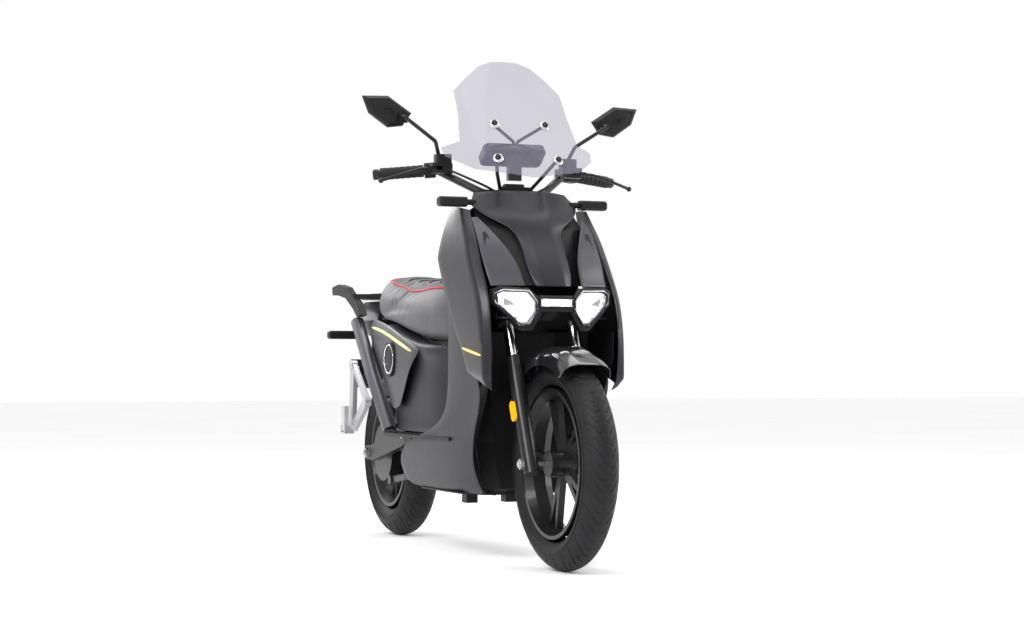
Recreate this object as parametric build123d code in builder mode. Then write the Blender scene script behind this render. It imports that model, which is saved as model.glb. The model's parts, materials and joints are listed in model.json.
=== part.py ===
"""Electric moped scooter, built as an assembly of separate pieces.

Millimetres. +Z is up, the front faces -Y and +X is the rider's left.
The origin lies on the ground below the middle of the overall box.
"""
from build123d import *
from math import cos, radians, sin
import os

os.makedirs("parts", exist_ok=True)

# ---------------------------------------------------------------- driving dimensions
WHEELBASE = 1340.0
FRONT_AXLE_Y = -667.0
FRONT_TYRE_R = 283.0
FRONT_TYRE_WIDTH = 100.0
FRONT_RIM_R = 203.0
REAR_TYRE_R = 266.0
REAR_TYRE_WIDTH = 110.0
REAR_RIM_R = 178.0
REAR_AXLE_Y = FRONT_AXLE_Y + WHEELBASE
TYRE_BITE = 4.0             # how far a tyre's bead sits over the rim's outer edge

RAKE = 23.5                 # steering head angle from the vertical
FORK_OFFSET = 40.0          # fork legs ahead of the steering axis
FORK_LEG_X = 95.0
FORK_LEG_R = 21.0
STANCHION_R = 16.0
FORK_LEG_TOP = 306.0        # along the fork, above the axle
YOKE_BOTTOM = 402.0
YOKE_HEIGHT = 34.0
STEM_R = 15.0
HEAD_TUBE_R = 29.0
HEAD_TUBE_LOW = 455.0
HEAD_TUBE_HIGH = 655.0
STEM_TOP = 806.0
RUN_GAP = 0.05              # radial clearance of a running fit
GAP = 0.5                   # clearance between neighbouring pieces that stay apart
SLIDE_GAP = 0.4             # clearance between a stanchion and its leg

FRONT_AXLE_R = 8.0
REAR_AXLE_R = 9.0
DISC_THICK = 4.5
FRONT_DISC_R = 110.0
REAR_DISC_R = 100.0
FRONT_DISC_X = 57.0
REAR_DISC_X = 78.0

TUBE_R = 17.0               # main frame tubes
RAIL_R = 21.0               # exposed rear frame tubes
PANEL_WALL = 3.0

BAR_R = 11.0                # handlebar tube
GRIP_R = 17.0
GRIP_LENGTH = 122.0
BAR_END_X = 350.0
BAR_END_Y = -168.0
BAR_END_Z = 1078.0

SEAT_HALF = 145.0
SEAT_PIN_R = 5.0

SWINGARM_PIVOT_Y = 330.0
SWINGARM_PIVOT_Z = 330.0
SWINGARM_ARM_X = 98.0
PIVOT_R = 10.0

BOLT_R = 4.0
RACK_PATTERN_X = 90.0       # top-case bolt pattern on the grab rail
RACK_PATTERN_Y = 60.0
PLATE_HOLE_SPACING = 120.0

# ---------------------------------------------------------------- derived places
SIN = sin(radians(RAKE))
COS = cos(radians(RAKE))
AXIS = Vector(0, SIN, COS)                   # up the steering axis
BACK = Vector(0, COS, -SIN)                  # rearward, square to the axis
FRONT_AXLE = Vector(0, FRONT_AXLE_Y, FRONT_TYRE_R)
REAR_AXLE = Vector(0, REAR_AXLE_Y, REAR_TYRE_R)
STEER_ORIGIN = FRONT_AXLE + BACK * FORK_OFFSET


def steer_plane(height=0.0):
    """Plane square to the steering axis, its local Y pointing rearward."""
    return Plane(origin=STEER_ORIGIN + AXIS * height, x_dir=(1, 0, 0), z_dir=AXIS)


def side_plane(x=0.0):
    """Vertical plane across X: local x is row Y, local y is row Z, normal +X."""
    return Plane(origin=(x, 0, 0), x_dir=(0, 1, 0), z_dir=(1, 0, 0))


def finish(part, label):
    """Label a finished piece and write its file."""
    part.label = label
    export_step(part, "parts/" + label + ".step")


def profile_plate(points, x_low, x_high):
    """A flat piece with an outline in row (Y, Z), between two X planes."""
    with BuildPart() as plate:
        with BuildSketch(side_plane(x_low)):
            with BuildLine():
                Polyline(*points, close=True)
            make_face()
        extrude(amount=x_high - x_low)
    return plate.part


def band(points, wall):
    """Closed outline of an open polyline given a wall on its right-hand side."""
    ends = len(points) - 1
    inner = []
    for i, (x, y) in enumerate(points):
        before = points[max(i - 1, 0)]
        here = points[i]
        after = points[min(i + 1, ends)]
        first = Vector(here[0] - before[0], here[1] - before[1])
        second = Vector(after[0] - here[0], after[1] - here[1])
        if i == 0:
            first = second
        if i == ends:
            second = first
        first = first.normalized()
        second = second.normalized()
        middle = (first + second).normalized()
        reach = wall / max(0.5, middle.dot(first))
        inner.append((x + middle.Y * reach, y - middle.X * reach))
    return [tuple(p) for p in points] + inner[::-1]


def level_shell(levels, wall):
    """A shell lofted through outlines at several heights, its wall inside."""
    with BuildPart() as shell:
        for height, outline in levels:
            with BuildSketch(Plane.XY.offset(height)):
                with BuildLine():
                    Polyline(*band(outline, wall), close=True)
                make_face()
        loft(ruled=True)
    return shell.part


def level_block(levels):
    """A solid block lofted through closed outlines at several heights."""
    with BuildPart() as block:
        for height, outline in levels:
            with BuildSketch(Plane.XY.offset(height)):
                with BuildLine():
                    Polyline(*outline, close=True)
                make_face()
        loft(ruled=True)
    return block.part


def tube_run(points, radius, bends):
    """A round bar along straight runs joined by tangent arcs."""
    with BuildPart() as bar:
        with BuildLine() as route:
            if len(points) > 2:
                FilletPolyline(*points, radius=bends)
            else:
                Line(*points)
        with BuildSketch(Plane(origin=route.line @ 0, z_dir=route.line % 0)):
            Circle(radius)
        sweep()
    return bar.part


def x_pin(x_low, length, radius, y, z, bore=0.0):
    """A round pin along +X from x_low, with an optional bore."""
    with BuildPart() as pin:
        with BuildSketch(side_plane(x_low)):
            with Locations((y, z)):
                Circle(radius)
                if bore:
                    Circle(bore, mode=Mode.SUBTRACT)
        extrude(amount=length)
    return pin.part


def mirror_x(part):
    """The same piece on the other side of the scooter."""
    return mirror(part, about=Plane.YZ, mode=Mode.PRIVATE)


def finish_group(parts, label):
    """Several separate solids written as one node."""
    finish(Compound(children=list(parts)), label)


def finish_both(part, label):
    """A piece and its mirror image written as one node."""
    finish_group([part, mirror_x(part)], label)


# ---------------------------------------------------------------- wheels
def tyre(centre, radius, width, rim_r):
    """Tyre of revolution about the axle, with a round tread crown."""
    bead = rim_r - TYRE_BITE
    half = width / 2
    crown = radius - half * 0.62
    with BuildPart() as body:
        with BuildSketch(Plane(origin=centre, x_dir=(1, 0, 0), z_dir=(0, -1, 0))):
            with BuildLine():
                outer = ThreePointArc((-half, crown), (0, radius), (half, crown))
                Spline(outer @ 1, (half * 0.93, (crown + bead) / 2), (half * 0.7, bead))
                Line((half * 0.7, bead), (half * 0.58, bead))
                inner_low = (half * 0.58, bead)
                Spline(inner_low, (half * 0.8, (crown + bead) / 2), (half * 0.76, crown - 4))
                ThreePointArc((half * 0.76, crown - 4), (0, radius - 11), (-half * 0.76, crown - 4))
                Spline((-half * 0.76, crown - 4), (-half * 0.8, (crown + bead) / 2), (-half * 0.58, bead))
                Line((-half * 0.58, bead), (-half * 0.7, bead))
                Spline((-half * 0.7, bead), (-half * 0.93, (crown + bead) / 2), outer @ 0)
            make_face()
        revolve(axis=Axis(tuple(centre), (1, 0, 0)))
    return body.part


def rim(centre, rim_r, width, hub_r, hub_half, bore_r, spoke_pairs):
    """Cast rim: channel, paired slim spokes and a bored hub, in one piece."""
    half = width / 2 * 0.7
    seat = rim_r - TYRE_BITE - RUN_GAP
    with BuildPart() as body:
        with BuildSketch(Plane(origin=centre, x_dir=(1, 0, 0), z_dir=(0, -1, 0))):
            with BuildLine():
                Polyline(
                    (-half - 5, seat), (-half - 5, rim_r - 14), (-half * 0.5, rim_r - 26),
                    (half * 0.5, rim_r - 26), (half + 5, rim_r - 14), (half + 5, seat),
                    (half * 0.7, seat), (half * 0.45, rim_r - 18), (-half * 0.45, rim_r - 18),
                    (-half * 0.7, seat),
                    close=True,
                )
            make_face()
        revolve(axis=Axis(tuple(centre), (1, 0, 0)))
        with BuildSketch(Plane(origin=centre - Vector(hub_half, 0, 0), z_dir=(1, 0, 0))):
            Circle(hub_r)
        extrude(amount=2 * hub_half)
        spoke_plane = Plane(origin=centre, x_dir=(0, 1, 0), z_dir=(1, 0, 0))
        for i in range(spoke_pairs):
            for lean in (-7, 7):
                with BuildSketch(spoke_plane):
                    with BuildLine():
                        turn = radians(360 / spoke_pairs * i + lean)
                        root = radians(360 / spoke_pairs * i + lean * 0.4)
                        out = (cos(turn), sin(turn))
                        low = (cos(root), sin(root))
                        Polyline(
                            ((hub_r - 4) * low[0] - 9 * low[1], (hub_r - 4) * low[1] + 9 * low[0]),
                            ((rim_r - 20) * out[0] - 6 * out[1], (rim_r - 20) * out[1] + 6 * out[0]),
                            ((rim_r - 20) * out[0] + 6 * out[1], (rim_r - 20) * out[1] - 6 * out[0]),
                            ((hub_r - 4) * low[0] + 9 * low[1], (hub_r - 4) * low[1] - 9 * low[0]),
                            close=True,
                        )
                    make_face()
                extrude(amount=9, both=True)
        with BuildSketch(Plane(origin=centre - Vector(hub_half + 5, 0, 0), z_dir=(1, 0, 0))):
            Circle(bore_r)
        extrude(amount=2 * hub_half + 10, mode=Mode.SUBTRACT)
    return body.part


def brake_disc(centre, x, radius, inner_r):
    """Drilled brake disc on the wheel's left side."""
    with BuildPart() as disc:
        with BuildSketch(Plane(origin=centre + Vector(x, 0, 0), z_dir=(1, 0, 0))):
            Circle(radius)
            Circle(inner_r, mode=Mode.SUBTRACT)
            with PolarLocations(radius - 14, 18):
                Circle(3.5, mode=Mode.SUBTRACT)
            with PolarLocations(radius - 34, 8):
                Circle(9, mode=Mode.SUBTRACT)
        extrude(amount=DISC_THICK)
    return disc.part


FRONT_HUB_HALF = 46.0
REAR_HUB_HALF = 62.0
with BuildPart() as front_tyre:
    add(tyre(FRONT_AXLE, FRONT_TYRE_R, FRONT_TYRE_WIDTH, FRONT_RIM_R))
finish(front_tyre.part, "front_tyre")
with BuildPart() as front_rim:
    add(rim(FRONT_AXLE, FRONT_RIM_R, FRONT_TYRE_WIDTH, 34, FRONT_HUB_HALF, FRONT_AXLE_R + RUN_GAP, 5))
finish(front_rim.part, "front_rim")
with BuildPart() as front_disc:
    add(brake_disc(FRONT_AXLE, FRONT_DISC_X, FRONT_DISC_R, 40))
    with BuildSketch(Plane(origin=FRONT_AXLE + Vector(FRONT_HUB_HALF, 0, 0), z_dir=(1, 0, 0))):
        Circle(52)
        Circle(FRONT_AXLE_R + 3, mode=Mode.SUBTRACT)
    extrude(amount=FRONT_DISC_X - FRONT_HUB_HALF + DISC_THICK / 2)
finish(front_disc.part, "front_brake_disc")

with BuildPart() as rear_tyre:
    add(tyre(REAR_AXLE, REAR_TYRE_R, REAR_TYRE_WIDTH, REAR_RIM_R))
finish(rear_tyre.part, "rear_tyre")
with BuildPart() as rear_rim:
    add(rim(REAR_AXLE, REAR_RIM_R, REAR_TYRE_WIDTH, 92, REAR_HUB_HALF, REAR_AXLE_R + RUN_GAP, 5))
finish(rear_rim.part, "rear_hub_motor_rim")
with BuildPart() as rear_disc:
    add(brake_disc(REAR_AXLE, REAR_DISC_X, REAR_DISC_R, 40))
    with BuildSketch(Plane(origin=REAR_AXLE + Vector(REAR_HUB_HALF, 0, 0), z_dir=(1, 0, 0))):
        Circle(50)
        Circle(REAR_AXLE_R + 3, mode=Mode.SUBTRACT)
    extrude(amount=REAR_DISC_X - REAR_HUB_HALF + DISC_THICK / 2)
finish(rear_disc.part, "rear_brake_disc")

# ---------------------------------------------------------------- fork lowers (slide on the stanchions)
LEG_LOW = -28.0
AXLE_HALF = FORK_LEG_X + FORK_LEG_R + 14


def headed_axle(centre, radius, face, flats, head):
    """Axle with a hexagon head and nut outside the arms that carry it."""
    with BuildPart() as body:
        add(x_pin(-face - head - 4, 2 * (face + head + 4), radius, centre.Y, centre.Z))
        for side in (-1, 1):
            with BuildSketch(Plane(origin=centre + Vector(side * face, 0, 0), z_dir=(side, 0, 0))):
                RegularPolygon(flats, 6)
            extrude(amount=head)
    return body.part


with BuildPart() as front_axle:
    add(headed_axle(FRONT_AXLE, FRONT_AXLE_R, FORK_LEG_X + FORK_LEG_R, 14, 10))
finish(front_axle.part, "front_axle")

with BuildPart() as fork_lowers:
    for side in (-1, 1):
        leg_plane = Plane(
            origin=FRONT_AXLE + Vector(side * FORK_LEG_X, 0, 0) + AXIS * LEG_LOW, x_dir=(1,
                0, 0), z_dir=AXIS)
        with BuildSketch(leg_plane):
            Circle(FORK_LEG_R)
        extrude(amount=FORK_LEG_TOP - LEG_LOW)
        with BuildSketch(leg_plane.offset(60)):
            Circle(STANCHION_R + SLIDE_GAP)
        extrude(amount=FORK_LEG_TOP - LEG_LOW - 60 + 1, mode=Mode.SUBTRACT)
    with BuildSketch(side_plane(-AXLE_HALF)):
        with Locations((FRONT_AXLE_Y, FRONT_TYRE_R)):
            Circle(FRONT_AXLE_R + RUN_GAP)
    extrude(amount=2 * AXLE_HALF, mode=Mode.SUBTRACT)
finish(fork_lowers.part, "fork_lowers")

FENDER_R = FRONT_TYRE_R + 16
FENDER_HALF = FORK_LEG_X - FORK_LEG_R - 4
FENDER_ARC = 94.0
FENDER_FORWARD = 33.0
with BuildPart() as fender_arc:
    with BuildSketch(Plane(origin=FRONT_AXLE, x_dir=(1, 0, 0), z_dir=(0, -1, 0))):
        with BuildLine():
            Polyline(
                (-FENDER_HALF, FENDER_R - 42), (-FENDER_HALF + 3, FENDER_R - 6), (-28, FENDER_R + 12),
                (28, FENDER_R + 12), (FENDER_HALF - 3, FENDER_R - 6), (FENDER_HALF, FENDER_R - 42),
                (FENDER_HALF - 3, FENDER_R - 42), (FENDER_HALF - 6, FENDER_R - 8), (27, FENDER_R + 9),
                (-27, FENDER_R + 9), (-FENDER_HALF + 6, FENDER_R - 8), (-FENDER_HALF + 3, FENDER_R - 42),
                close=True,
            )
        make_face()
    revolve(axis=Axis(tuple(FRONT_AXLE), (1, 0, 0)), revolution_arc=-FENDER_ARC)
with BuildPart() as front_fender:
    add(fender_arc.part.rotate(Axis(tuple(FRONT_AXLE), (1, 0, 0)), FENDER_FORWARD))
    fork_mid = FRONT_AXLE + AXIS * (FENDER_R - 30)
    for side in (-1, 1):
        with BuildSketch(Plane(origin=fork_mid + Vector(side * (FENDER_HALF - 3), 0, 0),
            z_dir=(side, 0, 0))):
            Rectangle(26, 26)
        extrude(amount=FORK_LEG_X - FORK_LEG_R - FENDER_HALF + 2.5)
finish(front_fender.part, "front_fender")

CALIPER_X = FRONT_DISC_X + DISC_THICK / 2


def caliper(centre, disc_x, radius, turn):
    """Two-sided brake caliper round a disc, as seen along the axle."""
    mid = centre + Vector(disc_x, cos(radians(turn)) * (radius - 14), sin(radians(turn)) * (radius - 14))
    with BuildPart() as body:
        with BuildSketch(Plane(origin=mid - Vector(14, 0, 0), x_dir=(0, cos(radians(turn)),
            sin(radians(turn))),
                               z_dir=(1, 0, 0))):
            RectangleRounded(44, 74, 9)
        extrude(amount=28)
        with BuildSketch(Plane(origin=mid - Vector(4, 0, 0), x_dir=(0, cos(radians(turn)),
            sin(radians(turn))),
                               z_dir=(1, 0, 0))):
            with Locations((-10, 0)):
                Rectangle(52, 90)
        extrude(amount=8, mode=Mode.SUBTRACT)
    return body.part


with BuildPart() as front_caliper:
    add(caliper(FRONT_AXLE, CALIPER_X, FRONT_DISC_R, 20))
finish(front_caliper.part, "front_brake_caliper")

with BuildPart() as reflectors:
    for side in (-1, 1):
        spot = FRONT_AXLE + AXIS * 150 + Vector(side * (FORK_LEG_X + FORK_LEG_R + 0.2), 0, 0)
        with BuildSketch(Plane(origin=spot, x_dir=(0, SIN, COS), z_dir=(side, 0, 0))):
            SlotOverall(56, 26)
        extrude(amount=7)
finish(reflectors.part, "side_reflectors")

# ---------------------------------------------------------------- steering
with BuildPart() as stanchions:
    for side in (-1, 1):
        leg_plane = Plane(origin=FRONT_AXLE + Vector(side * FORK_LEG_X, 0, 0), x_dir=(1, 0, 0), z_dir=AXIS)
        with BuildSketch(leg_plane.offset(120)):
            Circle(STANCHION_R)
        extrude(amount=YOKE_BOTTOM + YOKE_HEIGHT - 120)
finish(stanchions.part, "fork_stanchions")

with BuildPart() as yoke:
    with BuildSketch(steer_plane(YOKE_BOTTOM)):
        with Locations((0, 0)):
            Circle(30)
        with Locations((0, -FORK_OFFSET / 2)):
            Rectangle(70, FORK_OFFSET + 30)
        with Locations((0, -FORK_OFFSET)):
            SlotOverall(2 * FORK_LEG_X + 60, 56)
    extrude(amount=YOKE_HEIGHT)
    with BuildSketch(steer_plane(YOKE_BOTTOM - 1)):
        with Locations((-FORK_LEG_X, -FORK_OFFSET), (FORK_LEG_X, -FORK_OFFSET)):
            Circle(STANCHION_R)
    extrude(amount=YOKE_HEIGHT + 2, mode=Mode.SUBTRACT)
    with BuildSketch(steer_plane(YOKE_BOTTOM + YOKE_HEIGHT)):
        Circle(STEM_R)
    extrude(amount=STEM_TOP - YOKE_BOTTOM - YOKE_HEIGHT)

CLAMP = STEER_ORIGIN + AXIS * (STEM_TOP + 18)
with BuildPart() as yoke_stem:
    add(yoke.part)
    with BuildSketch(steer_plane(STEM_TOP)):
        RectangleRounded(64, 46, 8)
    extrude(amount=38)
    with BuildSketch(Plane(origin=CLAMP - Vector(40, 0, 0), z_dir=(1, 0, 0))):
        Circle(BAR_R)
    extrude(amount=80, mode=Mode.SUBTRACT)
finish(yoke_stem.part, "steering_yoke_stem")

BAR_RISE_X = 196.0
BAR_TIP = Vector(BAR_END_X, BAR_END_Y, BAR_END_Z)
BAR_KNEE = Vector(BAR_RISE_X, BAR_END_Y - 44, BAR_END_Z + 14)


def bar_sweep(radius):
    """The handlebar's bent run at a given radius, for the tube and for what clamps round it."""
    with BuildPart() as body:
        with BuildLine() as bar_line:
            FilletPolyline(
                (-BAR_TIP.X, BAR_TIP.Y, BAR_TIP.Z), (-BAR_KNEE.X, BAR_KNEE.Y, BAR_KNEE.Z),
                (-88, CLAMP.Y, CLAMP.Z), (88, CLAMP.Y, CLAMP.Z), tuple(BAR_KNEE), tuple(BAR_TIP), radius=34)
        with BuildSketch(Plane(origin=bar_line.line @ 0, z_dir=bar_line.line % 0)):
            Circle(radius)
        sweep()
    return body.part


GRIP_AXIS = (BAR_TIP - BAR_KNEE).normalized()
GRIP_END = 3.0


def bar_plane(side, back):
    """Plane square to one end of the bar, back millimetres in from its tip, normal outward."""
    origin = BAR_TIP - GRIP_AXIS * back
    out = GRIP_AXIS
    return Plane(origin=(side * origin.X, origin.Y, origin.Z), z_dir=(side * out.X, out.Y, out.Z))


def grip_sleeve(side, radius, length, back, bore):
    """A ribbed sleeve over one end of the handlebar."""
    with BuildPart() as sleeve:
        with BuildSketch(bar_plane(side, back + length)):
            Circle(radius)
        extrude(amount=length)
        for i in range(1, 7):
            with BuildSketch(bar_plane(side, back + length - i * length / 7.5)):
                Circle(radius + 1)
                Circle(radius - 1.2, mode=Mode.SUBTRACT)
            extrude(amount=4, mode=Mode.SUBTRACT)
        with BuildSketch(bar_plane(side, back + length + 1)):
            Circle(bore)
        extrude(amount=length + 2, mode=Mode.SUBTRACT)
    return sleeve.part


for side, grip_name in ((1, "left_grip"), (-1, "throttle_grip")):
    grip_bore = BAR_R + RUN_GAP
    with BuildPart() as grip:
        add(grip_sleeve(side, GRIP_R, GRIP_LENGTH, GRIP_END, grip_bore))
    finish(grip.part, grip_name)

with BuildPart() as bar_ends:
    for side in (-1, 1):
        with BuildSketch(bar_plane(side, 0)):
            Circle(15)
        extrude(amount=18)
        chamfer(bar_ends.edges().group_by(Axis.X)[-1 if side > 0 else 0], 3)
finish_group([bar_sweep(BAR_R), *bar_ends.solids()], "handlebar")

# ---------------------------------------------------------------- controls on the handlebar
HOUSING_BACK = GRIP_END + GRIP_LENGTH + 3
HOUSING_LENGTH = 30.0
BUTTON_R = 5.0
BUTTON_RUN = 3.0


def housing_plane(side, back):
    """Like bar_plane, with local x pointing forward along the ground."""
    base = bar_plane(side, back)
    return Plane(origin=base.origin, x_dir=(side * GRIP_AXIS.Y, -GRIP_AXIS.X, 0), z_dir=base.z_dir)


def button_plane(side):
    """Seat of the thumb button on the rider's side of a switch housing, normal to the rear."""
    base = housing_plane(side, HOUSING_BACK + HOUSING_LENGTH / 2)
    return Plane(origin=base.origin - base.x_dir * 20, x_dir=base.z_dir, z_dir=-base.x_dir)


def switch_housing(side):
    """Clamped switch box with a pocket for its thumb button."""
    with BuildPart() as body:
        with BuildSketch(housing_plane(side, HOUSING_BACK + HOUSING_LENGTH)):
            RectangleRounded(40, 42, 10)
        extrude(amount=HOUSING_LENGTH)
        add(bar_sweep(BAR_R + RUN_GAP), mode=Mode.SUBTRACT)
        with BuildSketch(button_plane(side)):
            Circle(BUTTON_R + GAP)
        extrude(amount=-7, mode=Mode.SUBTRACT)
    return body.part


def thumb_button(side):
    """Button whose foot stays clear of the pocket floor over its travel."""
    with BuildPart() as cap:
        with BuildSketch(button_plane(side).offset(-7 + BUTTON_RUN + GAP)):
            Circle(BUTTON_R)
        extrude(amount=7)
    return cap.part


for side, button_name in ((1, "horn_button"), (-1, "start_button")):
    with BuildPart() as button:
        add(thumb_button(side))
    finish(button.part, button_name)

LEVER_PIVOT = Vector(214, -252, 1092)
LEVER_THICK = 9.0
LEVER_PIN_R = 4.0
LEVER_EYE_R = 11.0


def lever_perch(side):
    """Clevis and master cylinder ahead of the bar, with the lever's pin and a fluid reservoir."""
    x, y, z = side * LEVER_PIVOT.X, LEVER_PIVOT.Y, LEVER_PIVOT.Z
    with BuildPart() as body:
        with BuildSketch(Plane.XY.offset(z - 14)):
            with Locations((x - side * 17, y - 4)):
                RectangleRounded(60, 38, 8)
            with Locations((x - side * 37, y + 22)):
                Rectangle(18, 50)
        extrude(amount=28)
        with BuildSketch(Plane.XY.offset(z - LEVER_THICK / 2 - GAP)):
            with Locations((x + side * 8, y - 4)):
                Rectangle(48, 64)
        extrude(amount=LEVER_THICK + 2 * GAP, mode=Mode.SUBTRACT)
        with BuildSketch(Plane.XY.offset(z + 14)):
            with Locations((x - side * 24, y + 2)):
                RectangleRounded(46, 34, 7)
        extrude(amount=26)
        with BuildSketch(Plane.XY.offset(z - 14)):
            with Locations((x, y)):
                Circle(LEVER_PIN_R)
        extrude(amount=28)
        add(bar_sweep(BAR_R + RUN_GAP), mode=Mode.SUBTRACT)
    return body.part


def brake_lever(side):
    """Lever blade with a bored eye and a ball end."""
    x, y, z = side * LEVER_PIVOT.X, LEVER_PIVOT.Y, LEVER_PIVOT.Z
    blade = [(side * 222, y - 4, z), (side * 262, y - 14, z - 4), (side * 318, y - 22, z - 22),
        (side * 376, y - 12, 1052)]
    with BuildPart() as body:
        with BuildSketch(Plane.XY.offset(z - LEVER_THICK / 2)):
            with Locations((x, y)):
                Circle(LEVER_EYE_R)
            with Locations((x + side * 16, y - 5)):
                Rectangle(24, 11)
        extrude(amount=LEVER_THICK)
        with BuildLine() as route:
            FilletPolyline(*blade, radius=60)
        with BuildSketch(Plane(origin=route.line @ 0, z_dir=route.line % 0)):
            Ellipse(4.4, 4.4)
        sweep()
        with Locations(blade[-1]):
            Sphere(7.5)
        with BuildSketch(Plane.XY.offset(z - LEVER_THICK)):
            with Locations((x, y)):
                Circle(LEVER_PIN_R + RUN_GAP)
        extrude(amount=2 * LEVER_THICK, mode=Mode.SUBTRACT)
    return body.part


def finish_pair(part, piece):
    """Write a left piece and its mirror image on the right."""
    finish(part, "left_" + piece)
    finish(mirror_x(part), "right_" + piece)


control_pieces = [switch_housing(1), lever_perch(1)]
finish_group(control_pieces + [mirror_x(piece) for piece in control_pieces], "handlebar_controls")
finish_pair(brake_lever(1), "brake_lever")

# ---------------------------------------------------------------- mirrors
MIRROR_FOOT = Vector(186, -226, 1106)
MIRROR_BEND = Vector(212, -252, 1168)
MIRROR_BALL = Vector(306, -250, 1229)
MIRROR_NECK = 18.0
MIRROR_BALL_R = 9.0
MIRROR_BARREL = 14.0          # length of the tilt barrel at the stem's end
MIRROR_THICK = 17.0
MIRROR_OUTLINE = [(419, 1290), (345, 1293), (274, 1246), (300, 1210), (345, 1204), (400, 1242)]


def mirror_stem(side):
    """Bent stem with a tilt barrel at its top."""
    with BuildPart() as stem:
        with BuildLine() as route:
            FilletPolyline(
                (side * MIRROR_FOOT.X, MIRROR_FOOT.Y, MIRROR_FOOT.Z - 6), (side * 194, -232, 1124),
                (side * MIRROR_BEND.X, MIRROR_BEND.Y, MIRROR_BEND.Z),
                (side * MIRROR_BALL.X, MIRROR_BALL.Y - MIRROR_NECK, MIRROR_BALL.Z), radius=14)
        with BuildSketch(Plane(origin=route.line @ 0, z_dir=route.line % 0)):
            Circle(5.5)
        sweep()
        with BuildSketch(Plane(origin=(side * MIRROR_BALL.X, MIRROR_BALL.Y - MIRROR_NECK - 5,
            MIRROR_BALL.Z),
                               z_dir=(0, 1, 0))):
            Circle(5)
        extrude(amount=MIRROR_NECK + 5)
        add(x_pin(side * MIRROR_BALL.X - MIRROR_BARREL / 2, MIRROR_BARREL, MIRROR_BALL_R, MIRROR_BALL.Y,
            MIRROR_BALL.Z))
    return stem.part


def mirror_head(side):
    """Angular six-sided head, hollowed for the glass."""
    depth_low = MIRROR_BALL.Y + MIRROR_BALL_R + 1
    middle_x = sum(p[0] for p in MIRROR_OUTLINE) / len(MIRROR_OUTLINE)
    middle_z = sum(p[1] for p in MIRROR_OUTLINE) / len(MIRROR_OUTLINE)
    with BuildPart() as head:
        for y, share in ((depth_low, 0.8), (depth_low + 7, 0.96), (depth_low + MIRROR_THICK, 1.0)):
            with BuildSketch(Plane(origin=(0, y, 0), x_dir=(1, 0, 0), z_dir=(0, -1, 0))):
                with BuildLine():
                    Polyline(*[(side * (middle_x + (px - middle_x) * share),
                        middle_z + (pz - middle_z) * share)
                               for px, pz in MIRROR_OUTLINE], close=True)
                make_face()
        loft(ruled=True)
        with BuildSketch(Plane(origin=(0, depth_low + MIRROR_THICK - 3, 0), x_dir=(1, 0, 0),
            z_dir=(0, -1, 0))):
            with BuildLine():
                Polyline(*[(side * (middle_x + (px - middle_x) * 0.9), middle_z + (pz - middle_z) * 0.9)
                           for px, pz in MIRROR_OUTLINE], close=True)
            make_face()
        extrude(amount=-10, mode=Mode.SUBTRACT)
        socket = MIRROR_BARREL + 2 * GAP
        cheek_wall = 4.0
        add(x_pin(side * MIRROR_BALL.X - socket / 2 - cheek_wall, socket + 2 * cheek_wall,
                  MIRROR_BALL_R + cheek_wall, MIRROR_BALL.Y, MIRROR_BALL.Z))
        add(x_pin(side * MIRROR_BALL.X - socket / 2, socket, MIRROR_BALL_R + RUN_GAP,
                  MIRROR_BALL.Y, MIRROR_BALL.Z), mode=Mode.SUBTRACT)
        with BuildSketch(Plane(origin=(0, MIRROR_BALL.Y - 2, 0), x_dir=(1, 0, 0), z_dir=(0, -1, 0))):
            with Locations((side * MIRROR_BALL.X, MIRROR_BALL.Z)):
                Rectangle(60, 60)
        extrude(amount=40, mode=Mode.SUBTRACT)
    return head.part


def mirror_glass(side):
    """Thin glass in the head's pocket."""
    depth = MIRROR_BALL.Y + MIRROR_BALL_R + 1 + MIRROR_THICK - 3
    middle_x = sum(p[0] for p in MIRROR_OUTLINE) / len(MIRROR_OUTLINE)
    middle_z = sum(p[1] for p in MIRROR_OUTLINE) / len(MIRROR_OUTLINE)
    with BuildPart() as glass:
        with BuildSketch(Plane(origin=(0, depth, 0), x_dir=(1, 0, 0), z_dir=(0, -1, 0))):
            with BuildLine():
                Polyline(*[(side * (middle_x + (px - middle_x) * 0.895), middle_z + (pz - middle_z) * 0.895)
                           for px, pz in MIRROR_OUTLINE], close=True)
            make_face()
        extrude(amount=-2.5)
    return glass.part


finish_both(mirror_stem(1), "mirror_stems")
mirror_pieces = [mirror_head(1), mirror_glass(1)]
finish_group(mirror_pieces, "left_mirror_head")
finish_group([mirror_x(piece) for piece in mirror_pieces], "right_mirror_head")

# ---------------------------------------------------------------- instrument, screen and its supports
DISPLAY = Vector(0, -306, 1122)
with BuildPart() as display:
    display_plane = Plane(origin=DISPLAY, x_dir=(1, 0, 0), z_dir=(0, 0.62, 0.78))
    with BuildSketch(display_plane):
        RectangleRounded(186, 74, 18)
    extrude(amount=26)
    chamfer(display.faces().sort_by(Axis.Z)[-1].edges(), 4)
    with BuildSketch(Plane.XY.offset(CLAMP.Z + 36)):
        with Locations((0, DISPLAY.Y - 6)):
            Rectangle(40, 16)
    extrude(amount=DISPLAY.Z - CLAMP.Z - 30)
finish(display.part, "instrument_display")

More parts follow.
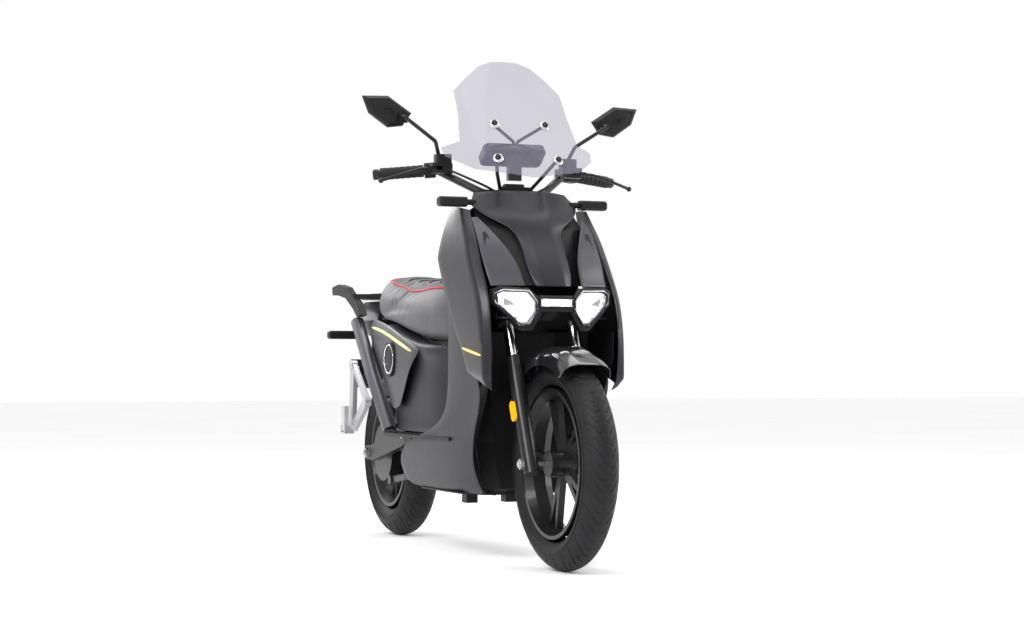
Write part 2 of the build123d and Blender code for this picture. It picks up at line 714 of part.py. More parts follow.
SCREEN_RADIUS = 430.0
SCREEN_WALL = 4.0
SCREEN_SLOPE = 0.66
SCREEN_LOW = Vector(0, -430, 1109)
SCREEN_OUTLINE = [(0, 1056), (154, 1078), (218, 1116), (224, 1142), (176, 1160), (164, 1240), (160, 1312),
                  (120, 1352), (78, 1388), (40, 1402), (0, 1404)]
rake_dir = Vector(0, SCREEN_SLOPE, 1).normalized()
with BuildPart() as windscreen:
    with BuildSketch(Plane(origin=SCREEN_LOW - rake_dir * 90, x_dir=(1, 0, 0), z_dir=rake_dir)):
        with Locations((0, SCREEN_RADIUS)):
            Circle(SCREEN_RADIUS)
            Circle(SCREEN_RADIUS - SCREEN_WALL, mode=Mode.SUBTRACT)
        with Locations((0, SCREEN_RADIUS + 120)):
            Rectangle(2 * SCREEN_RADIUS + 10, 2 * SCREEN_RADIUS, mode=Mode.SUBTRACT)
    extrude(amount=520)
    with BuildSketch(Plane(origin=(0, 200, 0), x_dir=(1, 0, 0), z_dir=(0, -1, 0))):
        with BuildLine():
            Polyline(*SCREEN_OUTLINE, *[(-x, z) for x, z in SCREEN_OUTLINE[-2:0:-1]], close=True)
        make_face()
    extrude(amount=900, mode=Mode.INTERSECT)
finish(windscreen.part, "windscreen")


def screen_y(x, z):
    """Rear face of the screen at a width and height."""
    stretch = (1 + SCREEN_SLOPE ** 2) ** 0.5
    centre = SCREEN_LOW.Y + SCREEN_SLOPE * (z - SCREEN_LOW.Z)
    inside = SCREEN_RADIUS - SCREEN_WALL
    return centre + (SCREEN_RADIUS - (inside ** 2 - x ** 2) ** 0.5) * stretch


BRACKET_TOP = Vector(75, 0, 1211)
BRACKET_LOW = Vector(89, 0, 1109)
with BuildPart() as bracket:
    for side in (-1, 1):
        tip_y = screen_y(BRACKET_TOP.X, BRACKET_TOP.Z) + 6
        with BuildLine() as arm:
            FilletPolyline((0, -318, 1128), (side * 6, -322, 1168),
                           (side * BRACKET_TOP.X, tip_y, BRACKET_TOP.Z), radius=8)
        with BuildSketch(Plane(origin=arm.line @ 0, z_dir=arm.line % 0)):
            Circle(4.5)
        sweep()
        low_y = screen_y(BRACKET_LOW.X, BRACKET_LOW.Z) + 6
        with BuildLine() as strut:
            FilletPolyline((side * 46, CLAMP.Y - 20, CLAMP.Z + 12), (side * 70, CLAMP.Y - 60, CLAMP.Z + 50),
                           (side * BRACKET_LOW.X, low_y, BRACKET_LOW.Z), radius=20)
        with BuildSketch(Plane(origin=strut.line @ 0, z_dir=strut.line % 0)):
            Circle(5)
        sweep()
    with BuildSketch(side_plane(-50)):
        with Locations((CLAMP.Y - 20, CLAMP.Z + 12)):
            Circle(7)
    extrude(amount=100)

SCREW_R = 8.0
with BuildPart() as clips:
    for side in (-1, 1):
        for spot in (BRACKET_TOP, BRACKET_LOW):
            face = Vector(side * spot.X, screen_y(spot.X, spot.Z), spot.Z)
            out = Vector(side * spot.X / SCREEN_RADIUS, -1, SCREEN_SLOPE).normalized()
            with BuildSketch(Plane(origin=face + out * 6.5, z_dir=out)):
                Circle(SCREW_R)
            extrude(amount=4)
finish_group([*bracket.solids(), *clips.solids()], "screen_bracket")

# ---------------------------------------------------------------- main frame
def frame_tubes():
    """Head tube, down tubes, floor rails and seat rails as one welded frame."""
    head_low = STEER_ORIGIN + AXIS * HEAD_TUBE_LOW
    head_high = STEER_ORIGIN + AXIS * HEAD_TUBE_HIGH
    with BuildPart() as body:
        with BuildSketch(steer_plane(HEAD_TUBE_LOW)):
            Circle(HEAD_TUBE_R)
        extrude(amount=HEAD_TUBE_HIGH - HEAD_TUBE_LOW)
        start = head_low + AXIS * 60
        for side in (-1, 1):
            add(tube_run([(side * 12, start.Y + 20, start.Z), (side * 52, -262, 560),
                (side * 62, -250, 290),
                          (side * 64, -150, 228), (side * 64, 180, 228), (side * 64,
                              296, 330)], TUBE_R, 40))
            add(tube_run([(side * 64, 170, 240), (side * 100, 240, 420), (side * 100, 300, 600),
                          (side * 100, 560, 640)], TUBE_R - 3, 60))
        for y, z in ((-90, 228), (120, 228)):
            add(x_pin(-64, 128, 13, y, z))
        add(x_pin(-100, 200, 13, 300, 594))
        with BuildSketch(steer_plane(HEAD_TUBE_LOW - 1)):
            Circle(STEM_R + RUN_GAP)
        extrude(amount=HEAD_TUBE_HIGH - HEAD_TUBE_LOW + 2, mode=Mode.SUBTRACT)
        with BuildSketch(side_plane(-SWINGARM_ARM_X + 16)):
            with Locations((SWINGARM_PIVOT_Y, SWINGARM_PIVOT_Z)):
                Circle(24)
        extrude(amount=2 * (SWINGARM_ARM_X - 16))
        with BuildSketch(side_plane(-200)):
            with Locations((SWINGARM_PIVOT_Y, SWINGARM_PIVOT_Z)):
                Circle(PIVOT_R + RUN_GAP)
        extrude(amount=400, mode=Mode.SUBTRACT)
    return body.part


with BuildPart() as main_frame:
    add(frame_tubes())

RAIL_TOP = (693, 684)
RAIL_MID = (484, 505)
RAIL_LOW = (346, 345)
RAIL_X = 150.0
rear_rail = tube_run([(RAIL_X - 8, *RAIL_TOP), (RAIL_X + 6, *RAIL_MID), (RAIL_X - 4, *RAIL_LOW)],
    RAIL_R, 300)
with BuildPart() as rear_rails:
    add(rear_rail)
    add(mirror_x(rear_rail))
finish(rear_rails.part, "rear_frame_rails")

# ---------------------------------------------------------------- swingarm, rear axle and shock
with BuildPart() as pivot_pin:
    add(x_pin(-SWINGARM_ARM_X - 18, 2 * SWINGARM_ARM_X + 36, PIVOT_R, SWINGARM_PIVOT_Y, SWINGARM_PIVOT_Z))

SEAT_PIN = Vector(0, -98, 600)
with BuildPart() as seat_pin:
    add(x_pin(-70, 140, SEAT_PIN_R, SEAT_PIN.Y, SEAT_PIN.Z))
finish_group([*pivot_pin.solids(), *seat_pin.solids()], "pivot_pins")

ARM_WIDTH = 26.0
SHOCK_TOP = Vector(0, 300, 566)
SHOCK_LOW = Vector(0, 362, 352)
SHOCK_EYE_R = 12.0
SHOCK_PIN_R = 5.0
with BuildPart() as swingarm:
    for side in (-1, 1):
        low = side * SWINGARM_ARM_X - ARM_WIDTH / 2
        add(profile_plate([(SWINGARM_PIVOT_Y - 26, SWINGARM_PIVOT_Z + 18),
            (SWINGARM_PIVOT_Y + 20, SWINGARM_PIVOT_Z + 30),
                           (REAR_AXLE_Y - 40, REAR_TYRE_R + 26), (REAR_AXLE_Y + 34, REAR_TYRE_R + 20),
                           (REAR_AXLE_Y + 38, REAR_TYRE_R - 20), (REAR_AXLE_Y - 40, REAR_TYRE_R - 24),
                           (SWINGARM_PIVOT_Y + 10, SWINGARM_PIVOT_Z - 34), (SWINGARM_PIVOT_Y - 26,
                               SWINGARM_PIVOT_Z - 18)],
                          low, low + ARM_WIDTH))
    with BuildSketch(side_plane(-SWINGARM_ARM_X)):
        with Locations((SWINGARM_PIVOT_Y + 56, SWINGARM_PIVOT_Z - 40)):
            Circle(9)
    extrude(amount=2 * SWINGARM_ARM_X)
    with BuildSketch(side_plane(-200)):
        with Locations((SWINGARM_PIVOT_Y, SWINGARM_PIVOT_Z)):
            Circle(PIVOT_R + RUN_GAP)
        with Locations((REAR_AXLE_Y, REAR_TYRE_R)):
            Circle(REAR_AXLE_R + RUN_GAP)
    extrude(amount=400, mode=Mode.SUBTRACT)
    add(x_pin(-24, 48, SHOCK_PIN_R, SHOCK_LOW.Y, SHOCK_LOW.Z))
    for side in (-1, 1):
        add(profile_plate([(SWINGARM_PIVOT_Y + 46, SWINGARM_PIVOT_Z - 46),
            (SWINGARM_PIVOT_Y + 64, SWINGARM_PIVOT_Z - 46),
                           (SHOCK_LOW.Y + 12, SHOCK_LOW.Z + 6), (SHOCK_LOW.Y, SHOCK_LOW.Z + 10),
                           (SHOCK_LOW.Y - 9, SHOCK_LOW.Z + 2)], side * 17 - 5, side * 17 + 5))
finish(swingarm.part, "swingarm")
with BuildPart() as rear_axle:
    add(headed_axle(REAR_AXLE, REAR_AXLE_R, SWINGARM_ARM_X + ARM_WIDTH / 2, 16, 12))
finish(rear_axle.part, "rear_axle")
with BuildPart() as rear_caliper:
    add(caliper(REAR_AXLE, REAR_DISC_X + DISC_THICK / 2, REAR_DISC_R, 100))
finish(rear_caliper.part, "rear_brake_caliper")

# ---------------------------------------------------------------- rear shock absorber
shock_dir = (SHOCK_TOP - SHOCK_LOW).normalized()
shock_length = (SHOCK_TOP - SHOCK_LOW).length


def shock_plane(height):
    """Plane square to the shock, measured up from its lower eye."""
    return Plane(origin=SHOCK_LOW + shock_dir * height, x_dir=(1, 0, 0), z_dir=shock_dir)


with BuildPart() as shock_rod:
    add(x_pin(-9, 18, SHOCK_EYE_R, SHOCK_LOW.Y, SHOCK_LOW.Z))
    with BuildSketch(shock_plane(10)):
        Circle(5)
    extrude(amount=124)
    with BuildSketch(shock_plane(11)):
        Circle(23)
    extrude(amount=5)
    with BuildSketch(side_plane(-20)):
        with Locations((SHOCK_LOW.Y, SHOCK_LOW.Z)):
            Circle(SHOCK_PIN_R + 1.2)
    extrude(amount=40, mode=Mode.SUBTRACT)
finish(shock_rod.part, "shock_rod")
with BuildPart() as shock_body:
    add(x_pin(-9, 18, SHOCK_EYE_R, SHOCK_TOP.Y, SHOCK_TOP.Z))
    with BuildSketch(shock_plane(92)):
        Circle(13.5)
    extrude(amount=shock_length - 102)
    with BuildSketch(shock_plane(shock_length - 34)):
        Circle(23)
    extrude(amount=6)
    with BuildSketch(shock_plane(80)):
        Circle(5.4)
    extrude(amount=82, mode=Mode.SUBTRACT)
    with BuildSketch(side_plane(-20)):
        with Locations((SHOCK_TOP.Y, SHOCK_TOP.Z)):
            Circle(SHOCK_PIN_R + RUN_GAP)
    extrude(amount=40, mode=Mode.SUBTRACT)
finish(shock_body.part, "shock_body")
SPRING_LOW = 16.5
SPRING_HIGH = shock_length - 34.5
with BuildPart() as shock_spring:
    with BuildSketch(shock_plane(SPRING_LOW)):
        Circle(22.5)
        Circle(16, mode=Mode.SUBTRACT)
    extrude(amount=SPRING_HIGH - SPRING_LOW)
finish(shock_spring.part, "shock_spring")
with BuildPart() as shock_mounts:
    add(x_pin(-30, 60, SHOCK_PIN_R, SHOCK_TOP.Y, SHOCK_TOP.Z))
    for side in (-1, 1):
        with BuildSketch(side_plane(side * 20)):
            with BuildLine():
                Polyline((SHOCK_TOP.Y - 14, SHOCK_TOP.Z - 14), (SHOCK_TOP.Y + 14, SHOCK_TOP.Z - 14),
                         (SHOCK_TOP.Y + 14, 581), (SHOCK_TOP.Y - 14, 581), close=True)
            make_face()
        extrude(amount=side * 6)


# ---------------------------------------------------------------- front body panels
SPINE = [  # height, half width and Y of the flat centre, half width and Y of its outer edge
    (1016, 60, -385, 129, -352), (985, 48, -420, 136, -388), (940, 36, -470, 108, -444),
    (915, 33, -493, 84, -474), (828, 32, -552, 72, -536), (775, 32, -592, 68, -577), (750, 32, -608, 66,
        -596)]
with BuildPart() as hood:
    add(level_shell([(z, [(b, yb), (a, ya), (-a, ya), (-b, yb)]) for z, a, ya, b, yb in SPINE], PANEL_WALL))
finish(hood.part, "front_hood")

INNER_HOOD = [(992, 138, -358, 100, -370, 40, -392), (915, 158, -430, 110, -450, 40, -468),
              (828, 158, -476, 112, -500, 40, -526), (756, 150, -520, 108, -550, 40, -578)]
with BuildPart() as hood_channel:
    add(level_shell([(z, [(c, yc), (b, yb), (a, ya), (-a, ya), (-b, yb), (-c, yc)])
                     for z, c, yc, b, yb, a, ya in INNER_HOOD], PANEL_WALL))

CHEEK = [(945, 164, -424, 148, -436), (915, 170, -446, 130, -474), (850, 172, -498, 104, -530),
         (800, 172, -532, 92, -562), (752, 168, -566, 84, -598)]
cheek = level_shell([(z, [(a, ya), (b, yb)]) for z, a, ya, b, yb in CHEEK], PANEL_WALL)
finish_both(cheek, "hood_side_panels")

WING = [(975, 190, -322, 188, -392, 168, -408), (940, 200, -303, 193, -418, 172, -434),
        (841, 215, -277, 203, -492, 178, -512), (709, 207, -336, 205, -582, 184, -600),
        (622, 202, -391, 205, -600, 184, -612), (560, 199, -440, 205, -604, 182, -612),
        (505, 196, -480, 204, -603, 178, -606)]
wing = level_shell([(z, [(a, ya), (b, yb), (c, yc)]) for z, a, ya, b, yb, c, yc in WING], PANEL_WALL)
finish_both(wing, "leg_shield_wings")

SHIELD = [(984, 126, -337, 66, -248), (940, 180, -322, 90, -225), (841, 196, -290, 100, -205),
          (700, 190, -345, 100, -205), (612, 184, -345, 100, -195), (364, 178, -335, 100, -185)]
with BuildPart() as inner_shield:
    add(level_shell([(z, [(-a, ya), (-b, yb), (b, yb), (a, ya)]) for z, a, ya, b, yb in SHIELD],
        PANEL_WALL))
finish(inner_shield.part, "inner_leg_shield")

LINER = [(634, 176, -592, 166, -450, 92, -384), (560, 174, -596, 166, -440, 92, -376),
         (460, 169, -540, 162, -430, 90, -366), (330, 150, -405, 140, -376, 80, -350),
         (200, 112, -362, 100, -352, 50, -338)]
with BuildPart() as liner:
    add(level_shell([(z, [(a, ya), (b, yb), (c, yc), (-c, yc), (-b, yb), (-a, ya)])
                     for z, a, ya, b, yb, c, yc in LINER], PANEL_WALL))
finish_group([liner.part, hood_channel.part], "inner_liners")

LOWER_SHIELD = [(500, 190, -350, 189, -470, 182, -552), (430, 188, -345, 184, -440, 177, -515),
                (352, 186, -340, 180, -400, 169, -440)]
lower_shield = level_shell([(z, [(a, ya), (b, yb), (c, yc)]) for z, a, ya, b, yb, c, yc in LOWER_SHIELD],
    PANEL_WALL)
SKIRT = [(331, 180, 210, 186, -200, 169, -410), (262, 172, 190, 176, -230, 154, -392),
         (186, 150, 150, 152, -250, 118, -376)]
skirt = level_shell([(z, [(a, ya), (b, yb), (c, yc)]) for z, a, ya, b, yb, c, yc in SKIRT], PANEL_WALL)
finish_group([lower_shield, skirt, mirror_x(lower_shield), mirror_x(skirt)], "lower_fairings")
BELLY_Z = 184.0
with BuildPart() as belly:
    with BuildSketch(Plane.XY.offset(BELLY_Z)):
        with BuildLine():
            Polyline((100, -345), (144, -250), (144, 60), (104, 110), (90, 190), (-90, 190), (-104, 110),
                (-144, 60), (-144, -250),
                     (-100, -345), close=True)
        make_face()
    extrude(amount=4)
    with BuildSketch(Plane.XY.offset(BELLY_Z - 34)):
        with Locations((60, -120), (-60, -120)):
            Rectangle(34, 40)
    extrude(amount=34)
finish(belly.part, "belly_pan")

# ---------------------------------------------------------------- headlight, indicators
LAMP_OUTLINE = [(45, 716), (72, 748), (150, 751), (172, 742), (168, 706), (96, 634), (70, 634), (44, 676)]
LAMP_FRONT = [(0, -621), (80, -617), (137, -603), (180, -580)]      # plan line of the lamps' faces
LAMP_DEPTH = 24.0
LAMP_CENTRE = (108, 703)
LENS_SETBACK = 5.0
LENS_THICK = 7.0
BAR_SIZE = (88, 18)
BAR_HEIGHT = 708
BAR_SETBACK = 1.0


def lamp_blank(front, depth, z_low, z_high):
    """Block across both lamps that follows their plan line."""
    nose = [(x, y + front) for x, y in LAMP_FRONT]
    tail = [(x, y + front + depth) for x, y in LAMP_FRONT]
    with BuildPart() as blank:
        with BuildSketch(Plane.XY.offset(z_low)):
            with BuildLine():
                Polyline(*nose, *tail[::-1], close=True)
            make_face()
            mirror(about=Plane.YZ)
        extrude(amount=z_high - z_low)
    return blank.part


def lamp_window(share_x, share_z, sides):
    """Prism along Y through the lamp outlines, shrunk about each lamp's centre."""
    mid_x, mid_z = LAMP_CENTRE
    with BuildPart() as window:
        for side in sides:
            with BuildSketch(Plane(origin=(0, -500, 0), x_dir=(1, 0, 0), z_dir=(0, -1, 0))):
                with BuildLine():
                    Polyline(*[(side * (mid_x + (x - mid_x) * share_x), mid_z + (z - mid_z) * share_z)
                               for x, z in LAMP_OUTLINE], close=True)
                make_face()
            extrude(amount=160)
    return window.part


def bar_window(margin):
    """Prism along Y through the light bar."""
    with BuildPart() as window:
        with BuildSketch(Plane(origin=(0, -500, 0), x_dir=(1, 0, 0), z_dir=(0, -1, 0))):
            with Locations((0, BAR_HEIGHT)):
                RectangleRounded(BAR_SIZE[0] - margin, BAR_SIZE[1] - margin, 5)
        extrude(amount=160)
    return window.part


with BuildPart() as lamp_outer:
    add(lamp_window(1, 1, (-1, 1)))
    with BuildSketch(Plane(origin=(0, -500, 0), x_dir=(1, 0, 0), z_dir=(0, -1, 0))):
        with Locations((0, 706)):
            Rectangle(96, 44)
    extrude(amount=160)
    add(lamp_blank(0, LAMP_DEPTH, 600, 800), mode=Mode.INTERSECT)
    with BuildSketch(side_plane(-300)):
        with BuildLine():
            Polyline((-622, 700), (-618, 722), (-592, 752), (-592, 800), (-700, 800), (-700, 700),
                close=True)
        make_face()
    extrude(amount=600, mode=Mode.SUBTRACT)
with BuildPart() as lamp_housing:
    add(lamp_outer.part)
    pocket = lamp_blank(-2, 16, 600, 800)
    add(pocket.intersect(lamp_window(0.8, 0.76, (-1, 1))), mode=Mode.SUBTRACT)
    add(pocket.intersect(bar_window(0)), mode=Mode.SUBTRACT)
finish(lamp_housing.part, "headlight_housing")
with BuildPart() as lens:
    add(lamp_window(0.79, 0.75, (1,)))
    add(lamp_blank(LENS_SETBACK, LENS_THICK, 600, 800), mode=Mode.INTERSECT)
with BuildPart() as light_bar:
    add(bar_window(1))
    add(lamp_blank(BAR_SETBACK, 12, 600, 800), mode=Mode.INTERSECT)
finish_group([lens.part, mirror_x(lens.part), light_bar.part], "headlight_lenses")


def indicator(x_root, x_tip, y, z):
    """Stalk and rounded indicator body standing out sideways."""
    with BuildPart() as body:
        with BuildSketch(side_plane(x_root)):
            with Locations((y, z)):
                Circle(8)
        extrude(amount=30)
        with BuildSketch(side_plane(x_root + 28)):
            with Locations((y, z)):
                RectangleRounded(34, 27, 8)
        extrude(amount=x_tip - x_root - 28)
        chamfer(body.faces().sort_by(Axis.X)[-1].edges(), 5)
    return body.part


front_indicator = indicator(142, 250, -380, 990)
rear_indicator = indicator(94, 214, 780, 644)
finish_group([front_indicator, mirror_x(front_indicator), rear_indicator, mirror_x(rear_indicator)],
    "indicators")

# ---------------------------------------------------------------- under-seat cowl, footboards, side panels
COWL = [(568, 140, 330, 138, -10, 84, -106), (500, 134, 320, 128, 0, 72, -106),
    (352, 122, 290, 116, -20, 60, -124)]
with BuildPart() as cowl:
    add(level_shell([(z, [(a, ya), (b, yb), (c, yc), (-c, yc), (-b, yb), (-a, ya)])
                     for z, a, ya, b, yb, c, yc in COWL], PANEL_WALL))
finish(cowl.part, "under_seat_cowl")

BOARD_TOP = 342.0
BOARD_THICK = 10.0
with BuildPart() as footboard:
    with BuildSketch(Plane.XY.offset(BOARD_TOP - BOARD_THICK)):
        with BuildLine():
            Polyline((124, -170), (190, -300), (194, -100), (194, 75), (190, 282), (176, 343), (126, 343),
                close=True)
        make_face()
    extrude(amount=BOARD_THICK)
    for i in range(9):
        with BuildSketch(Plane.XY.offset(BOARD_TOP - 3)):
            with Locations((158, -110 + i * 46)):
                Rectangle(46, 8)
        extrude(amount=4, mode=Mode.SUBTRACT)
finish_both(footboard.part, "footboards")

SIDE_OUTLINE = [(70, 588), (120, 604), (440, 684), (560, 688), (590, 640), (452, 520), (340, 410),
    (250, 430), (130, 540)]
with BuildPart() as side_panel:
    with BuildSketch(side_plane(147)):
        with BuildLine():
            Polyline(*SIDE_OUTLINE, close=True)
        make_face()
    extrude(amount=PANEL_WALL)
    with BuildSketch(side_plane(147 + PANEL_WALL)):
        with Locations((307, 563)):
            Circle(43)
    extrude(amount=9)
    chamfer(side_panel.faces().sort_by(Axis.X)[-1].edges(), 3)
finish_both(side_panel.part, "side_panels")

# ---------------------------------------------------------------- seat
SEAT_PROFILE = [(-96, 616), (-62, 748), (-10, 786), (134, 792), (300, 790), (418, 802), (600, 826),
    (618, 812),
                (606, 700), (440, 694), (104, 616)]
with BuildPart() as seat:
    with BuildSketch(side_plane(-SEAT_HALF)):
        with BuildLine():
            Polyline(*SEAT_PROFILE, close=True)
        make_face()
    extrude(amount=2 * SEAT_HALF)
    with BuildSketch(Plane.XY.offset(500)):
        with BuildLine():
            Polyline((-96, -160), (-112, -20), (-138, 120), (-138, 380), (-120, 560), (-84, 640),
                (84, 640), (120, 560),
                     (138, 380), (138, 120), (112, -20), (96, -160), close=True)
        make_face()
    extrude(amount=500, mode=Mode.INTERSECT)
finish(seat.part, "seat_cushion")
with BuildPart() as seat_base:
    add(profile_plate([(-92, 614), (102, 614), (440, 692), (600, 698), (600, 690), (442, 684), (104, 606),
        (-92, 606)],
                      -88, 88))
    for side in (-1, 1):
        with BuildSketch(side_plane(side * 50)):
            with BuildLine():
                Polyline((SEAT_PIN.Y - 8, 607), (SEAT_PIN.Y + 26, 607), (SEAT_PIN.Y + 10, SEAT_PIN.Z - 9),
                         (SEAT_PIN.Y - 8, SEAT_PIN.Z - 9), close=True)
            make_face()
        extrude(amount=side * 10)
    with BuildSketch(side_plane(-100)):
        with Locations((SEAT_PIN.Y, SEAT_PIN.Z)):
            Circle(SEAT_PIN_R + RUN_GAP)
    extrude(amount=200, mode=Mode.SUBTRACT)
finish(seat_base.part, "seat_base")

# ---------------------------------------------------------------- tail, grab rail, plate holder
RAIL_TIP_Y = 950.0
with BuildPart() as grab_rail:
    with BuildSketch(Plane.XY.offset(760)):
        with BuildLine():
            Polyline((-70, 640), (70, 640), (96, 700), (84, 840), (60, RAIL_TIP_Y - 90),
                (-60, RAIL_TIP_Y - 90),
                     (-84, 840), (-96, 700), close=True)
        make_face()
    extrude(amount=16)
    with Locations((0, 740, 776)):
        with GridLocations(RACK_PATTERN_X, RACK_PATTERN_Y, 2, 2):
            Hole(BOLT_R, depth=40)
    for side in (-1, 1):
        arm = profile_plate([(640, 706), (672, 742), (720, 760), (800, 800), (880, 812), (RAIL_TIP_Y, 804),
                             (RAIL_TIP_Y - 6, 778), (880, 776), (800, 764), (720, 728), (676, 700)],
                            side * 138 - 12, side * 138 + 12)
        add(arm)
        with BuildSketch(Plane.XY.offset(760)):
            with BuildLine():
                Polyline((side * 60, 700), (side * 140, 735), (side * 140, 790), (side * 60, 790),
                    close=True)
            make_face()
        extrude(amount=16)
finish(grab_rail.part, "grab_rail")

with BuildPart() as tail_cap:
    add(level_block([(642, [(-58, 650), (58, 650), (72, 790), (-72, 790)]),
                     (690, [(-92, 640), (92, 640), (112, 776), (-112, 776)]),
                     (752, [(-70, 650), (70, 650), (84, 800), (-84, 800)])]))
    with BuildSketch(Plane.XY.offset(690)):
        with Locations((0, 795)):
            Rectangle(120, 20)
    extrude(amount=34)
finish(tail_cap.part, "tail_cap")

with BuildPart() as mudguard:
    add(profile_plate([(690, 634), (790, 634), (800, 600), (925, 470), (946, 474), (946, 480), (928, 480),
        (806, 606),
                       (806, 640), (690, 640)], -58, 58))
    with BuildSketch(Plane(origin=(0, 946, 0), x_dir=(1, 0, 0), z_dir=(0, -1, 0))):
        with Locations((0, 520)):
            Rectangle(170, 92)
    extrude(amount=4)
    with BuildSketch(Plane(origin=(0, 950, 0), x_dir=(1, 0, 0), z_dir=(0, -1, 0))):
        with Locations((-PLATE_HOLE_SPACING / 2, 540), (PLATE_HOLE_SPACING / 2, 540)):
            Circle(3)
    extrude(amount=12, mode=Mode.SUBTRACT)
finish(mudguard.part, "rear_mudguard")

# ---------------------------------------------------------------- batteries and controller
with BuildPart() as batteries:
    for side in (-1, 1):
        with BuildSketch(Plane.XY.offset(256)):
            with Locations((side * 43, 66)):
                RectangleRounded(80, 188, 10)
        extrude(amount=300)
with BuildPart() as controller:
    with BuildSketch(Plane.XY.offset(262)):
        with Locations((0, -100)):
            RectangleRounded(80, 100, 6)
    extrude(amount=64)
finish_group([*batteries.solids(), *controller.solids()], "battery_packs_controller")

# ---------------------------------------------------------------- stands
STAND_Y = 262.0
STAND_Z = 214.0
FOOT_Y = 470.0
with BuildPart() as centre_stand:
    add(x_pin(-104, 208, 12, STAND_Y, STAND_Z))
    for side in (-1, 1):
        add(tube_run([(side * 92, STAND_Y, STAND_Z), (side * 92, FOOT_Y, STAND_Z - 26)], 11, 0))
        with BuildSketch(side_plane(side * 92 - 16)):
            with Locations((FOOT_Y, STAND_Z - 26)):
                Circle(15)
        extrude(amount=32)
    add(x_pin(-92, 184, 8, 400, STAND_Z - 17))
finish(centre_stand.part, "centre_stand")
with BuildPart() as side_stand:
    add(x_pin(122, 22, 14, 150, 168))
    add(tube_run([(133, 150, 168), (134, 350, 160)], 9, 0))
    add(x_pin(124, 30, 13, 350, 160))
finish(side_stand.part, "side_stand")
with BuildPart() as stand_brackets:
    for side in (-1, 1):
        with BuildSketch(side_plane(side * 112)):
            with BuildLine():
                Polyline((STAND_Y - 26, STAND_Z - 16), (STAND_Y + 24, STAND_Z - 16), (STAND_Y + 30, 328),
                    (STAND_Y - 34, 328),
                         close=True)
            make_face()
        extrude(amount=side * 8)
    add(x_pin(104.5, 8, 8, 150, 168))
    with BuildSketch(side_plane(112)):
        with BuildLine():
            Polyline((136, 152), (164, 152), (240, 230), (228, 250), (136, 182), close=True)
        make_face()
    extrude(amount=8)
finish_group([*main_frame.solids(), *shock_mounts.solids(), *stand_brackets.solids()], "main_frame")

# ---------------------------------------------------------------- cast hangers and passenger pegs
PEG_PIVOT = Vector(213, 594, 347)
PEG_PIN_R = 3.5
PEG_WIDTH = 30.0
HANGER = [(598, 562), (572, 548), (440, 444), (428, 424), (446, 416), (570, 338), (606, 330), (616, 356),
    (606, 520), (612, 548)]
HANGER_HOLE = [(566, 520), (470, 440), (572, 372), (580, 376)]
with BuildPart() as hanger:
    with BuildSketch(side_plane(180)):
        with BuildLine():
            Polyline(*HANGER, close=True)
        make_face()
        with BuildLine():
            Polyline(*HANGER_HOLE, close=True)
        make_face(mode=Mode.SUBTRACT)
    extrude(amount=14)
    for y, z in ((588, 546), (446, 432)):
        with BuildSketch(side_plane(178)):
            with Locations((y, z)):
                Circle(15)
        extrude(amount=20)
    with BuildSketch(Plane.XY.offset(330)):
        with Locations((207, PEG_PIVOT.Y)):
            Rectangle(30, 44)
    extrude(amount=26)
    with BuildSketch(Plane.XY.offset(335)):
        with Locations((212, PEG_PIVOT.Y)):
            Rectangle(24, PEG_WIDTH + 2 * GAP)
    extrude(amount=30, mode=Mode.SUBTRACT)
    with BuildSketch(Plane(origin=PEG_PIVOT - Vector(0, 20, 0), z_dir=(0, 1, 0))):
        Circle(PEG_PIN_R)
    extrude(amount=40)
finish_both(hanger.part, "peg_hangers")
with BuildPart() as peg:
    with BuildSketch(Plane.XY.offset(PEG_PIVOT.Z - 9)):
        with Locations((PEG_PIVOT.X, PEG_PIVOT.Y)):
            Rectangle(14, PEG_WIDTH)
    extrude(amount=78)
    with BuildSketch(Plane(origin=PEG_PIVOT - Vector(0, 20, 0), z_dir=(0, 1, 0))):
        Circle(PEG_PIN_R + RUN_GAP)
    extrude(amount=40, mode=Mode.SUBTRACT)
finish_pair(peg.part, "passenger_peg")
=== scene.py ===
"""Looks of the electric moped scooter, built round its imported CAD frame."""
import json
import math

import bmesh
import bpy
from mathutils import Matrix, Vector


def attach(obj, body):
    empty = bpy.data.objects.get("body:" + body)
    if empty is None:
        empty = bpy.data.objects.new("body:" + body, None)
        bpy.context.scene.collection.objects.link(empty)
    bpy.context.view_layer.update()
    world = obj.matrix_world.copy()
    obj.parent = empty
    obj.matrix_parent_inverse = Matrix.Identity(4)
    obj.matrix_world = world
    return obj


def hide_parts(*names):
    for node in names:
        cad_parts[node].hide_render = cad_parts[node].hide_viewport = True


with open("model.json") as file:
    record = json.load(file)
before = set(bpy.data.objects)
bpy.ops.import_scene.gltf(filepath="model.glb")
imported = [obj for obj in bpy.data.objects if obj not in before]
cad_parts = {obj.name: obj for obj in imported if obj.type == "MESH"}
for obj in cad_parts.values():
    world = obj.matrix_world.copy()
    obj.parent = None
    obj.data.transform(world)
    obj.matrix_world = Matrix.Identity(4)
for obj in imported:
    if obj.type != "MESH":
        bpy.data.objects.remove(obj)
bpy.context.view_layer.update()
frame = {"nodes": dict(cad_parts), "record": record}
NODES = frame["nodes"]
MM = 0.001

# ---------------------------------------------------------------- camera, light and floor
CAMERA_AT = Vector((-2.171, -5.766, 0.527))
CAMERA_TURN = math.radians(21.65)      # to the right of +Y
CAMERA_UP = math.radians(1.39)
LENS_MM = 73.8


